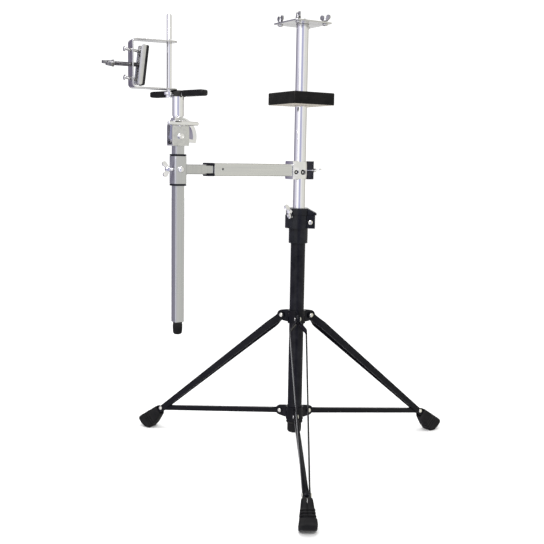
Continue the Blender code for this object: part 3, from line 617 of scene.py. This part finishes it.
def height_clamp():
    low, high = heights("height_clamp_body")
    block_low, block_top, side = 499.0, 526.0, 17.0
    closing = (24.6, 0, 512)
    shell = [(0, low), (19.4, low), (20.2, low + 0.8), (20.2, low + 3), (19.7, low + 3.6), (19.7, low + 4.4)]
    shell += [(20.2, low + 5), (20.2, block_low + 2), (0, block_low + 2)]
    block = arc((0, 0), 28.6, 58, 302, 40) + [(17, -side), (31.4, -side)] + arc((31.8, -14.0), 3.0, -90, 0, 4)
    block += [(x, -y) for x, y in reversed(block[-6:])]
    cap = arc((0, 0), 27.0, 52, 308, 40) + [(19, -14.5), (34.6, -14.5)] + arc((35.0, -11.9), 2.6, -90, 0, 4)
    cap += [(x, -y) for x, y in reversed(cap[-6:])]
    joins = [prism(block, block_low, block_top, "z"), prism(cap, block_top + 0.8, high, "z")]
    neck = arc((0, 0), 26.2, 52, 308, 40) + [(19, -13.8), (34.4, -13.8), (34.4, 13.8), (19, 13.8)]
    joins.append(prism(neck, block_top - 1, block_top + 2, "z"))
    wing = hinge("height_wing_turn")
    turn = heading(wing - POLE)
    cuts = [prism([(16, high + 1), (60, high - 22), (60, high + 1)], -40, 40)]
    cuts.append(rod(BASE_RADIUS + GAP, low - 5, BASE_TOP + GAP, 72))
    cuts.append(rod(POLE_HOLE, BASE_TOP - 5, high + 5, 72))
    cuts.append(box(10, 60, -1.5, 1.5, low - 5, high + 5))
    cuts.append(moved(rod(6.6, side - 1.2, side + 8, 40), closing, roll=90))
    cuts.append(moved(rod(3.4, -30, 30, 24), closing, roll=90))
    cuts.append(moved(rod(4.3, 8, 60, 24), (0, 0, wing.z), turn, 90))
    part(
        "height_clamp_body_look", turned(shell, 72), STAND, "base", CAST,
        ["height_clamp_body"], join=joins, cut=cuts, bevel=0.9, segments=3,
    )
    head = [(0, side + 3.2), (3.0, side + 3.0), (4.7, side + 2.3), (5.4, side + 1.0), (5.4, side + GAP)]
    head += [(3.2, side + GAP), (3.2, -side - GAP), (5.4, -side - GAP), (5.4, -side - 4), (3.0, -side - 4.2)]
    head += thread(3.0, -side - 5.8, -side - 4.3)[::-1] + [(0, -side - 5.9)]
    socket = moved(bolt_head(2.4, 3.0), (0, 0, side + 1.9))
    part(
        "height_clamp_bolt_look", turned(head, 40), STAND @ place(closing, roll=90), "base", RIVET,
        ["height_clamp_bolt"], cut=[socket], bevel=0,
    )
    winged(
        "height_clamp_wing_bolt_look", place(wing, turn, 90), "height_wing_bolt", CHROME,
        "height_clamp_wing_bolt", (5.5, 8.0), 31.0, 13.0, 28, shank=(4.0, 14.0), lobe=6.2, waist=5.6,
        thick=4.4,
    )


height_clamp()


# Pole, top plate and foam block


def pole():
    bottom, top = heights("pole_tube")
    wall = [(POLE_BORE, bottom), (POLE_RADIUS - 0.4, bottom), (POLE_RADIUS, bottom + 0.4)]
    wall += [(POLE_RADIUS, top - 0.4), (POLE_RADIUS - 0.4, top), (POLE_BORE, top)]
    part("pole_tube_look", turned(wall, 128), STAND, "pole", CHROME, ["pole_tube"], bevel=0)
    plate, side, bolt_offset = centre("top_plate"), 88, 33
    low, high = heights("top_plate")
    where = place((plate.x, plate.y, low), PLATE_TURN)
    corners = [(x * bolt_offset, y * bolt_offset, 0) for x in (-1, 1) for y in (-1, 1)]
    cuts = [moved(rod(3.3, -5, 9, 24), corner) for corner in corners]
    outline = rounded(side, side, 5.0, 6)
    part(
        "top_plate_look", prism(outline, 0, high - low, "z"), where, "pole", ZINC,
        ["top_plate"], cut=cuts, bevel=0.7, segments=3,
    )
    weld = bead(POLE_RADIUS - 0.2, top - 0.6, 1.1)
    part("pole_weld", weld, STAND, "pole", ZINC, bevel=0)
    for number, nut_turn in ((1, 71), (2, 101), (3, 20), (4, 81)):
        spot = centre(f"plate_bolt_{number}")
        head = [(0, -4.2), (2.6, -4.0), (4.4, -3.3), (5.4, -2.1), (5.6, -GAP), (3.0, -GAP), (3.0, 2.0)]
        head += thread(3.0, 2.2, 12.6) + [(1.8, 13.0), (0, 13.0)]
        at = place((spot.x, spot.y, low), PLATE_TURN)
        slot_cut = box(-6, 6, -0.6, 0.6, -6, -3.1)
        part(
            f"plate_bolt_{number}_look", turned(head, 28), at, "pole", ZINC,
            [f"plate_bolt_{number}"], cut=[slot_cut], bevel=0,
        )
        nut = hinge(f"plate_nut_{number}_turn")
        winged(
            f"plate_wing_nut_{number}_look", place(nut, PLATE_TURN), f"plate_nut_{number}",
            CAST_ZINC, f"plate_wing_nut_{number}", (5.8, 7.0), 27.0, 12.5, nut_turn, bore=3.2, lobe=5.0,
            waist=5.6,
        )


def foam_block():
    """A cut foam block: crisp but crushed edges, and faces that swell a little, except at the pole."""
    low, high = extent("foam_block")
    middle, tall, half = centre("foam_block"), high.z - low.z, 50.5
    size = Matrix.Diagonal((2 * half - 1.4, 2 * half - 1.4, tall - 1.2, 1))
    mesh = bmesh.new()
    bmesh.ops.create_cube(mesh, size=1.0)
    bmesh.ops.transform(mesh, matrix=size, verts=mesh.verts)
    made = raw(mesh)
    for width in (1.6, 0.6):
        soften(made, width, 3, 0.8)
    hole = raw(rod(POLE_HOLE, -40, 40, 72))
    combine(made, "DIFFERENCE", hole)
    refine = made.modifiers.new("refine", "REMESH")
    refine.mode, refine.voxel_size = "VOXEL", 1.3
    smooth = made.modifiers.new("smooth", "SMOOTH")
    smooth.factor, smooth.iterations = 0.5, 1
    data = final(made)
    bpy.data.objects.remove(hole)
    for vert in data.vertices:
        x, y, z = vert.co
        from_pole, upward = math.hypot(x, y), (1 if z > 0 else -1)
        if from_pole < 15:
            continue
        rough = 0.28 * noise.noise(Vector((x, y, z)) * 0.11) + 0.14 * noise.noise(Vector((x, y, z)) * 0.5)
        if max(abs(x), abs(y)) / half > 0.9:
            swell = 0.5 * math.cos(math.pi / 2 * min(1.0, min(abs(x), abs(y)) / half))
            away = Vector((x if abs(x) > abs(y) else 0, y if abs(y) >= abs(x) else 0, 0)).normalized()
            vert.co += away * (swell + rough)
        else:
            vert.co += Vector((0, 0, rough * upward))
        vert.co.z += (0.5 - 1.0 * max(0.0, 1 - from_pole / 30)) * upward * 0.6
    data.transform(Matrix.Scale(MM, 4) @ place(middle, PLATE_TURN))
    data.materials.clear()
    data.materials.append(FOAM)
    data.shade_smooth()
    block = linked("foam_block_look", data)
    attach(block, "foam")
    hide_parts("foam_block")


pole()
foam_block()


# Side arm: X points from the pole along the arm

TUBE_END, BUSHING_END = 213.0, 226.0
WING_BOLT_HOLE, SLEEVE_BOLT_HOLE = 4.3, 3.9

def side_arm():
    arm_z = centre("arm_outer_tube").z
    clamp = place((POLE.x, POLE.y, arm_z), ARM_TURN)
    radius, front, wide, half = 16.3, 27.0, 14.5, 19.0
    outline = arc((0, 0), radius, 90, 270, 40)
    outline += [(12, -radius), (front, -wide), (front, wide), (12, radius)]
    cuts = [rod(POLE_HOLE, -40, 40, 72), moved(rod(WING_BOLT_HOLE, -60, 0, 24), pitch=90)]
    cuts.append(moved(rod(6.5, radius - 2.2, 40, 40), (2, 0, -4), roll=-90))
    cuts.append(moved(rod(5.2, radius - 2.2, 40, 40), (19, 0, -4), roll=-90))
    for z in (-1, 1):
        cuts.append(moved(rod(30, -60, 60, 72), (5, 0, z * (half + 28.4)), roll=90))
    barrel = ((-half, 0.86), (-half + 0.8, 0.905), (-half + 2.2, 0.945), (-half + 4.4, 0.975), (-9.0, 1.0))
    barrel += tuple((-z, scale) for z, scale in reversed(barrel))
    rings = [[(x * (scale if x < 20 else 1), y * scale, z) for x, y in outline] for z, scale in barrel]
    part(
        "arm_clamp_body_look", loft(rings), clamp, "arm", CHROME, ["arm_clamp_body"], cut=cuts,
        bevel=0.5, segments=3,
    )
    screw = [(0, 0), (5.4, 0), (5.4, 1.0), (4.8, 1.6), (0, 1.6)]
    where = clamp @ place((2, radius - 2.3, -4), roll=-90)
    part(
        "arm_clamp_set_screw", turned(screw, 32), where, "arm", CAST, cut=[bolt_head(2.6, 4)],
        bevel=0.2,
    )
    where = clamp @ place((19, radius - 3.6, -4), roll=-90)
    part(
        "arm_clamp_end_screw", rod(4.4, 0, 2.2, 32, 0.4), where, "arm", CAST,
        cut=[bolt_head(2.2, 4)], bevel=0.2,
    )
    jaw_back, jaw_half = -29.5, 10.0
    cuts = [rod(radius + GAP, -40, 40, 72), moved(rod(WING_BOLT_HOLE, -60, 0, 24), pitch=90)]
    cuts.append(box(-60, 0, 3, 30, -1.6, 1.6))
    part(
        "arm_clamp_jaw_look", box(jaw_back, -5, -jaw_half, jaw_half, -half, half), clamp, "arm",
        NYLON, ["arm_clamp_jaw"], cut=cuts, bevel=0.8, segments=3,
    )
    wing = hinge("arm_wing_turn")
    winged(
        "arm_clamp_wing_bolt_look", place(wing, ARM_TURN, -90), "arm_wing_bolt", CHROME,
        "arm_clamp_wing_bolt", (5.5, 9.0), 31.0, 15.0, 80, shank=(4.0, 20.0),
    )
    tube_bore = ARM_OUTER - 2 * SHEET_WALL
    outer_tube = moved(tube(ARM_OUTER, tube_bore, front + GAP, TUBE_END, ARM_CORNER), pitch=90)
    hole = moved(rod(2.3, 0, 30, 24), (TUBE_END - 18.5, 0, 1.0), roll=-90)
    part(
        "arm_outer_tube_look", outer_tube, clamp, "arm", STEEL_ARM, ["arm_outer_tube"],
        cut=[hole], bevel=0,
    )
    bore = ARM_INNER + 2 * GAP
    flange = moved(tube(ARM_OUTER + 0.6, bore, TUBE_END + GAP, BUSHING_END, ARM_CORNER, 0.5), pitch=90)
    spigot = moved(tube(tube_bore - 0.4, bore + 0.4, TUBE_END - 12, TUBE_END + 1.2, 1.4), pitch=90)
    sides = ((-30, -9.7), (9.7, 30))
    windows = [box(TUBE_END + 0.1, 300, y0, y1, -9.3, 9.3) for y0, y1 in sides]
    part(
        "arm_bushing_look", flange, clamp, "arm", NYLON, ["arm_bushing"], join=[spigot],
        cut=windows, bevel=0.3,
    )


def sleeve():
    upright = centre("upright_tube")
    arm_z = centre("arm_outer_tube").z
    at = place((upright.x, upright.y, arm_z), ARM_TURN)
    lip = 3.5
    bottom, top = heights("sleeve_liner")
    low, high = bottom + lip - arm_z, top - lip - arm_z
    face = ARM_OUTER / 2
    reach = math.hypot(upright.x - POLE.x, upright.y - POLE.y)
    arm = moved(tube(ARM_INNER, INNER_BORE, 80.0 - reach, 1.0 - face, ARM_CORNER), pitch=90)
    weld_outline = rounded(ARM_INNER + 2.6, ARM_INNER + 2.6, 4.0, 5)
    weld = moved(prism(weld_outline, -face - 1.3, -face + 0.6, "z"), pitch=90)
    part(
        "arm_inner_tube_look", tube(ARM_OUTER, ARM_OUTER - 3.2, low, high, ARM_CORNER, 0.5), at,
        "arm_extension", STEEL, ["arm_inner_tube"], join=[arm, weld],
        cut=[moved(rod(SLEEVE_BOLT_HOLE, 0, 20, 24), pitch=90)], bevel=0.35,
    )
    liner = tube(ARM_OUTER - 3.8, ARM_INNER + 0.6, low - lip, high + lip, 1.4, 0.3)
    bands = [tube(ARM_OUTER, ARM_INNER + 0.9, z, z + 3.2, ARM_CORNER, 0.5) for z in (low - lip, high + GAP)]
    part(
        "sleeve_liner_look", liner, at, "arm_extension", NYLON, ["sleeve_liner"], join=bands,
        cut=[moved(rod(SLEEVE_BOLT_HOLE, 0, 20, 24), pitch=90)], bevel=0.3,
    )
    stop = [(0, 0), (6.2, 0), (6.5, 0.6), (6.5, 2.0), (5.8, 3.4), (4.2, 4.8), (2.2, 5.6), (0, 5.8)]
    where = at @ place((0, face + 0.05, 0), roll=-90)
    part("sleeve_stop_screw", turned(stop, 36), where, "arm_extension", CHROME, bevel=0)
    wing = hinge("sleeve_wing_turn")
    shank = face + 6 - ARM_INNER / 2 - GAP
    winged(
        "sleeve_wing_bolt_look", place(wing, ARM_TURN, 90), "sleeve_wing", CHROME,
        "sleeve_wing_bolt", (5.0, 8.0), 30.0, 14.0, 12, shank=(3.5, shank),
    )
    low, high = heights("upright_tube")
    where = place((upright.x, upright.y, 0), ARM_TURN)
    part(
        "upright_tube_look", tube(ARM_INNER, INNER_BORE, low, high, 2.2), where, "upright",
        STEEL, ["upright_tube"], bevel=0,
    )
    tip = [(0, low - 25), (3.5, low - 24.9), (6.4, low - 24.2), (8.2, low - 22.4), (8.9, low - 19.6)]
    tip += [(9.2, low - 15), (9.4, low - 9), (9.3, low - 4.6), (8.9, low - 4.0), (9.0, low - 3.4)]
    tip += [(8.9, low - GAP), (7.0, low - GAP), (7.0, low + 10), (0, low + 10)]
    part(
        "upright_tip_look", turned(tip, 48), where, "upright", RUBBER, ["upright_tip"],
        bevel=0,
    )


side_arm()
sleeve()


# Tilter: the cheeks on the upright, and the sector that tilts between them


def tilter():
    pivot = hinge("tilter_tilt")
    where = place(pivot, ARM_TURN)
    low = heights("tilter_base")[0] - pivot.z
    inside, outside = 8.3, 11.3
    outline = [(-17.2, low), (17.2, low), (18.0, low + 5), (18.0, 15.0)] + arc((0, 16), 18, 0, 180, 28)[1:]
    outline += [(-18.0, low + 5)]
    ledge = prism(rounded(35.6, 22.6, 3.5, 5), low, low + 4.2, "z")
    cuts = [box(-40, 40, -inside, inside, low + 3.2, 60), moved(rod(3.3, -20, 20, 32), roll=90)]
    cuts.append(moved(rod(3.9, -20, 20, 32), (0, 0, 24), roll=90))
    part(
        "tilter_base_look", prism(outline, -outside, outside), where, "upright", CAST_CHROME,
        ["tilter_base"], join=[ledge], cut=cuts, bevel=0.9, segments=4,
    )
    head = moved(bolt_head(5.6, 3.7), (0, 0, outside + GAP))
    nut = moved(bolt_head(5.6, 3.7), (0, 0, -outside - 4))
    crown = moved(rod(3.6, 0, 0.9, 32, edge=0.6), (0, 0, outside + 3.6))
    core = rod(3.0, -outside - 2, outside + 2, 32)
    part(
        "tilter_pivot_bolt_look", head, where @ place((0, 0, 0), roll=-90), "upright", CHROME,
        ["tilter_pivot_bolt"], join=[nut, crown, core], bevel=0.45, segments=3, sharp=20,
    )
    lock = hinge("tilter_lock_turn")
    stand_off = 9.0
    far = -2 * outside - stand_off
    shank = [(0, far - 6), (5.0, far - 6), (6.0, far - 5), (6.0, far - GAP), (3.5, far - GAP)]
    shank += [(3.5, -stand_off + GAP), (6.4, -stand_off + GAP), (6.6, -stand_off + 1.4)]
    shank += [(6.0, -stand_off + 2.2), (4.6, -stand_off + 4.0), (4.4, -3.4), (5.4, -1.4)]
    shank += [(5.6, 1.4), (4.4, 3.2), (0, 3.6)]
    bar = [(0, -32), (2.4, -31.9), (3.3, -31.2), (3.6, -29.8), (4.2, -16), (4.4, -6)]
    bar += [(r, -z) for r, z in reversed(bar)]
    part(
        "tilter_lock_bolt_look", turned(shank, 40), place(lock, ARM_TURN, 0, -90), "tilter_lock",
        CHROME, ["tilter_lock_bolt"], join=[moved(turned(bar, 36), (0, 0, 0.5), pitch=90)], bevel=0,
    )
    half, radius, tube_radius, tube_top = 8.0, 36.0, 11.1, 757.0 - pivot.z
    outline = arc((0, 0), radius, 72, 200, 48) + arc((0, 0), 14.0, 220, 375, 28)
    slot_shape = arc((0, 0), 28.2, 69, 192, 30) + arc((0, 0), 19.8, 192, 69, 30)
    neck = [(0, radius - 4), (half, radius - 4), (half + 0.4, radius - 2), (tube_radius, radius + 3)]
    neck += [(tube_radius, tube_top - 0.4), (tube_radius - 0.4, tube_top), (9.6, tube_top), (9.6, radius + 5)]
    neck += [(0, radius + 5)]
    cuts = [moved(rod(3.3, -20, 20, 32), roll=90), prism(slot_shape, -20, 20)]
    part(
        "tilter_arm_look", prism(outline, -half, half), where, "tilter", CHROME, ["tilter_arm"],
        join=[turned(neck, 72)], cut=cuts, bevel=0.8, segments=3,
    )


# Fork, rod and clamp

FORK_TURN, CLAMP_TURN = -38.0, heading(JOINTS["press_travel"]["axis"]) + 180.0
ROD_OFFSET = 18.0  # from the fork's swivel
ROD_HOLE = 5.05
GUIDE_PINS = {"guide_pin_upper": 836.4, "guide_pin_lower": 785.0}


def fork_arm(name, side, node):
    """A padded arm: a rubber sleeve with softly crowned faces and a domed far end."""
    rings, length = [], 54.0
    stations = [(0.0, 0.80), (0.5, 0.92), (1.6, 0.985), (4.0, 1.0)]
    for i in range(1, 11):
        stations.append((4.0 + (length - 12) * i / 10, 1.0 - 0.010 * math.sin(math.pi * i / 10)))
    stations += [(length - 5.0, 0.985), (length - 2.6, 0.94), (length - 1.0, 0.86), (length - 0.2, 0.74)]
    for x, scale in stations:
        ring = []
        for y, z in rounded(18.0 * scale, 11.9 * scale, 3.4 * scale, 7):
            crown = 0.35 * math.cos(math.pi * y / 20)
            ring.append((17.0 + x, y, z + 0.45 + (crown - 0.35 if z > 0 else -crown + 0.35)))
        rings.append(ring)
    bar = box(0, 65.3, -6.3, 6.3, -3.0, 2.3)
    at = place(hinge("fork_swivel"), FORK_TURN + (0 if side > 0 else 180))
    made = part(name, loft(rings), at, "fork", RUBBER, [node], cut=[bar], bevel=0, sharp=60)


def fork():
    at = place(hinge("fork_swivel"), FORK_TURN)
    angle = math.radians(CLAMP_TURN - FORK_TURN)
    spot = (ROD_OFFSET * math.cos(angle), ROD_OFFSET * math.sin(angle), 0)
    bar = prism(rounded(130, 12, 2.5, 4), -2.7, 2.0, "z")
    hub = [(0, -2.7), (11.6, -2.7), (12.6, -1.8), (12.6, 1.8), (11.4, 2.9), (3.0, 3.0), (0, 3.0)]
    spigot = rod(8.9, -17, 0, 48, edge=0.6)
    eye = moved(rod(9.5, -2.7, 3.0, 48, edge=0.6), spot)
    cuts = [moved(rod(ROD_HOLE, -10, 10, 40), spot)]
    part(
        "fork_plate_look", bar, at, "fork", CHROME, ["fork_plate"],
        join=[turned(hub, 64), spigot, eye], cut=cuts, bevel=0.5,
    )
    cap = [(0, 3.6), (13.2, 3.6), (13.2, -4.6), (14.0, -5.0), (14.8, -4.2), (15.0, 4.4), (14.2, 5.6)]
    cap += [(12.4, 6.2), (0, 6.4)]
    notch = moved(rod(10.0, -20, 20, 48), spot)
    part(
        "fork_hub_pad", turned(cap, 64), at, "fork", RUBBER,
        cut=[notch, box(-17.2, 17.2, -6.4, 6.4, -6, 3.7)], bevel=0, sharp=50,
    )
    fork_arm("fork_pad_right_look", 1, "fork_pad_right")
    fork_arm("fork_pad_left_look", -1, "fork_pad_left")


def clamp():
    pivot = hinge("rod_turn")
    at = place(pivot, CLAMP_TURN)
    top = heights("clamp_rod")[1] - pivot.z
    outline = [(0, -7.5), (6.0, -7.5), (6.5, -7.0), (6.5, -3.3), (5.2, -3.0), (4.75, -2.8)]
    outline += [(4.75, top - 2.4), (4.4, top - 1.2), (3.6, top - 0.4), (2.2, top), (0, top)]
    part("clamp_rod_look", turned(outline, 48), at, "rod", CHROME, ["clamp_rod"], bevel=0)
    low, high = (z - pivot.z for z in heights("u_bracket"))
    reach, thick, half, bend = 73.5, 2.5, 15.0, 8.0
    far = reach + thick / 2
    outer = [(-half, low)] + arc((far - bend, low + bend), bend, -90, 0, 14)
    outer += arc((far - bend, high - bend), bend, 0, 90, 14) + [(-half, high)]
    inner = [(-half, high - thick)] + arc((far - bend, high - bend), bend - thick, 90, 0, 14)
    inner += arc((far - bend, low + bend), bend - thick, 0, -90, 14) + [(-half, low + thick)]
    rim = arc((0, 0), half, 90, 270, 32) + [(0, -half - 5), (-30, -half - 5), (-30, half + 5), (0, half + 5)]
    screw_z = hinge("clamp_screw_turn").z - pivot.z
    cuts = [prism(rim, low - 5, high + 5, "z"), rod(ROD_HOLE, low - 5, high + 5, 40)]
    for z in (screw_z, *(pin_z - pivot.z for pin_z in GUIDE_PINS.values())):
        cuts.append(moved(rod(4.35, 0, 40, 32), (reach - 20, 0, z), pitch=90))
    part(
        "u_bracket_look", prism(outer + inner, -half, half), at, "bracket", ZINC, ["u_bracket"],
        cut=cuts, bevel=0.55, segments=3,
    )
    seat, depth, lean = 53.5, 9.0, 7.0
    rocked = at @ place((seat, 0, screw_z), 0, -lean)
    bottom, top = -37.0, 36.0
    ends = [(-2, bottom + 3), (-2, top - 3)] + arc((1, top - 3), 3, 180, 90, 5)
    ends += [(depth - 6, top)] + arc((depth - 6, top - 4), 4, 90, 0, 5)
    ends += arc((depth - 6, bottom + 4), 4, 0, -90, 5) + arc((1, bottom + 3), 3, -90, -180, 5)[:-1]
    channel = prism(ends, -13, 13)
    part(
        "pressure_plate_look", channel, rocked, "press", ZINC, ["pressure_plate"],
        cut=[box(0, 30, -11.2, 11.2, bottom - 5, top + 5)], bevel=0.5,
    )
    rings = []
    for x, inset in ((-2.3, 0.5), (-2.6, 0.1), (-4.8, 0.0), (-6.3, 0.15), (-7.0, 0.6), (-7.3, 1.5)):
        outline = rounded(27.0 - 2 * inset, top - bottom - 2 * inset, 3.2, 8)
        rings.append([(x, y, z + (top + bottom) / 2) for y, z in outline])
    made = part(
        "pressure_pad_look", loft(rings), rocked, "press", RUBBER, ["pressure_pad"], bevel=0,
        sharp=60,
    )
    slope = math.radians(lean)
    for name, z in GUIDE_PINS.items():
        across, above = reach - seat, z - pivot.z - screw_z
        rise = above * math.cos(slope) - across * math.sin(slope)
        head = across * math.cos(slope) + above * math.sin(slope) + 11.0
        shape = [(0, GAP), (2.6, GAP), (2.6, head - 0.6), (2.9, head), (4.9, head), (5.2, head + 0.5)]
        shape += [(5.1, head + 1.4), (4.3, head + 2.4), (2.6, head + 3.1), (0, head + 3.4)]
        part(
            f"{name}_look", turned(shape, 40), rocked @ place((0, 0, rise), 0, 90), "press",
            ZINC, [name], bevel=0,
        )
    wing = hinge("clamp_screw_turn")
    hub = reach + 32
    winged(
        "clamp_wing_screw_look", place(wing, CLAMP_TURN, 90), "clamp_screw", DARK_STEEL,
        "clamp_wing_screw", (6.5, 12.0), 45.0, 18.5, 78, shank=(4.0, hub - (seat + 0.9)), lobe=8.0, waist=6.4,
        thick=5.0,
    )


tilter()
fork()
clamp()


# Studio


def sky():
    """A white room. Only its mirror image is striped by azimuth, which gives the tubes their bands."""
    world = bpy.data.worlds.new("studio")
    bpy.context.scene.world = world
    world.use_nodes = True
    tree = world.node_tree
    tree.nodes.clear()
    link = tree.links.new
    output = tree.nodes.new("ShaderNodeOutputWorld")
    plain = tree.nodes.new("ShaderNodeBackground")
    plain.inputs["Color"].default_value = (1.0, 1.0, 1.0, 1)
    plain.inputs["Strength"].default_value = 1.2
    room = tree.nodes.new("ShaderNodeBackground")
    spot = tree.nodes.new("ShaderNodeTexCoord").outputs["Generated"]
    facing = tree.nodes.new("ShaderNodeMapping")
    facing.inputs["Rotation"].default_value = (0, 0, math.radians(90))
    link(spot, facing.inputs["Vector"])
    around = tree.nodes.new("ShaderNodeTexGradient")
    around.gradient_type = "RADIAL"
    link(facing.outputs["Vector"], around.inputs["Vector"])
    ramp = tree.nodes.new("ShaderNodeValToRGB")
    stops = (
        (0.0, (0.85, 0.85, 0.85)), (0.06, (0.75, 0.75, 0.78)), (0.09, (0.14, 0.12, 0.19)),
        (0.13, (0.2, 0.18, 0.26)), (0.19, (0.36, 0.35, 0.42)), (0.26, (0.55, 0.54, 0.63)),
        (0.33, (0.88, 0.86, 1.0)), (0.38, (1.15, 1.15, 1.15)), (0.46, (1.15, 1.15, 1.15)),
        (0.49, (0.45, 0.46, 0.68)), (0.55, (0.50, 0.51, 0.68)), (0.60, (0.95, 0.94, 0.93)),
        (0.66, (0.76, 0.76, 0.72)), (0.73, (0.80, 0.80, 0.73)), (0.81, (0.68, 0.67, 0.62)),
        (0.90, (0.45, 0.43, 0.40)), (0.95, (0.70, 0.69, 0.66)), (1.0, (0.85, 0.85, 0.85)),
    )
    for at, shade in stops[1:-1]:
        ramp.color_ramp.elements.new(at).color = (*shade, 1)
    ramp.color_ramp.elements[0].color = (*stops[0][1], 1)
    ramp.color_ramp.elements[-1].color = (*stops[-1][1], 1)
    link(around.outputs["Fac"], ramp.inputs["Fac"])
    link(ramp.outputs["Color"], room.inputs["Color"])
    choose = tree.nodes.new("ShaderNodeMixShader")
    ray = tree.nodes.new("ShaderNodeLightPath")
    direct = tree.nodes.new("ShaderNodeMath")
    direct.operation = "MAXIMUM"
    link(ray.outputs["Is Camera Ray"], direct.inputs[0])
    link(ray.outputs["Is Diffuse Ray"], direct.inputs[1])
    link(direct.outputs["Value"], choose.inputs["Fac"])
    link(room.outputs["Background"], choose.inputs[1])
    link(plain.outputs["Background"], choose.inputs[2])
    link(choose.outputs["Shader"], output.inputs["Surface"])


def floor():
    mesh = bmesh.new()
    bmesh.ops.create_circle(mesh, cap_ends=True, segments=96, radius=12.0)
    data = bpy.data.meshes.new("studio_floor")
    mesh.to_mesh(data)
    mesh.free()
    pale = surface("studio_floor", (0.93, 0.93, 0.93), (0.95, 0.95, 0.945), (0.85, 0.9), bump=0.02)
    data.materials.append(pale)
    made = linked("studio_floor", data)
    made.visible_glossy = False


def softbox(name, spot, aim, size, power, colour=(1, 1, 1), mirrored=True):
    data = bpy.data.lights.new(name, "AREA")
    data.shape, data.size, data.size_y = "RECTANGLE", *size
    data.energy, data.color = power, colour
    made = linked(name, data)
    made.location = spot
    made.rotation_euler = (Vector(aim) - Vector(spot)).to_track_quat("-Z", "Y").to_euler()
    made.visible_glossy = mirrored


def camera():
    """The view that was fitted to the pole, the tripod and the top plate."""
    turn, tilt, roll = (math.radians(v) for v in (-1.75, 7.54, 0.99))
    ahead = Vector((math.sin(turn) * math.cos(tilt), math.cos(turn) * math.cos(tilt), -math.sin(tilt)))
    right = Vector((math.cos(turn), -math.sin(turn), 0))
    up = right.cross(ahead)
    across = math.cos(roll) * right + math.sin(roll) * up
    above = math.cos(roll) * up - math.sin(roll) * right
    data = bpy.data.cameras.new("camera")
    data.sensor_width, data.lens = 36.0, 56.67
    made = linked("camera", data)
    made.matrix_world = Matrix((across, above, -ahead)).transposed().to_4x4()
    made.matrix_world.translation = Vector((POLE.x * MM + 0.00107, POLE.y * MM - 1.8099, 0.64307))
    bpy.context.scene.camera = made


bpy.context.scene.view_settings.view_transform = "Standard"
sky()
floor()
softbox("key", (-0.35, -1.7, 1.75), (0, 0, 0.45), (0.9, 0.6), 16)
softbox("fill_left", (-1.9, -0.5, 0.9), (0, 0, 0.5), (0.8, 1.6), 4, (0.86, 0.88, 1.0), False)
softbox("warm_right", (1.9, -0.3, 0.8), (0, 0, 0.5), (0.5, 1.6), 4, (1.0, 0.95, 0.85), False)
softbox("top", (-0.25, -0.1, 2.3), (0, -0.1, 0.2), (0.6, 0.6), 12)
camera()
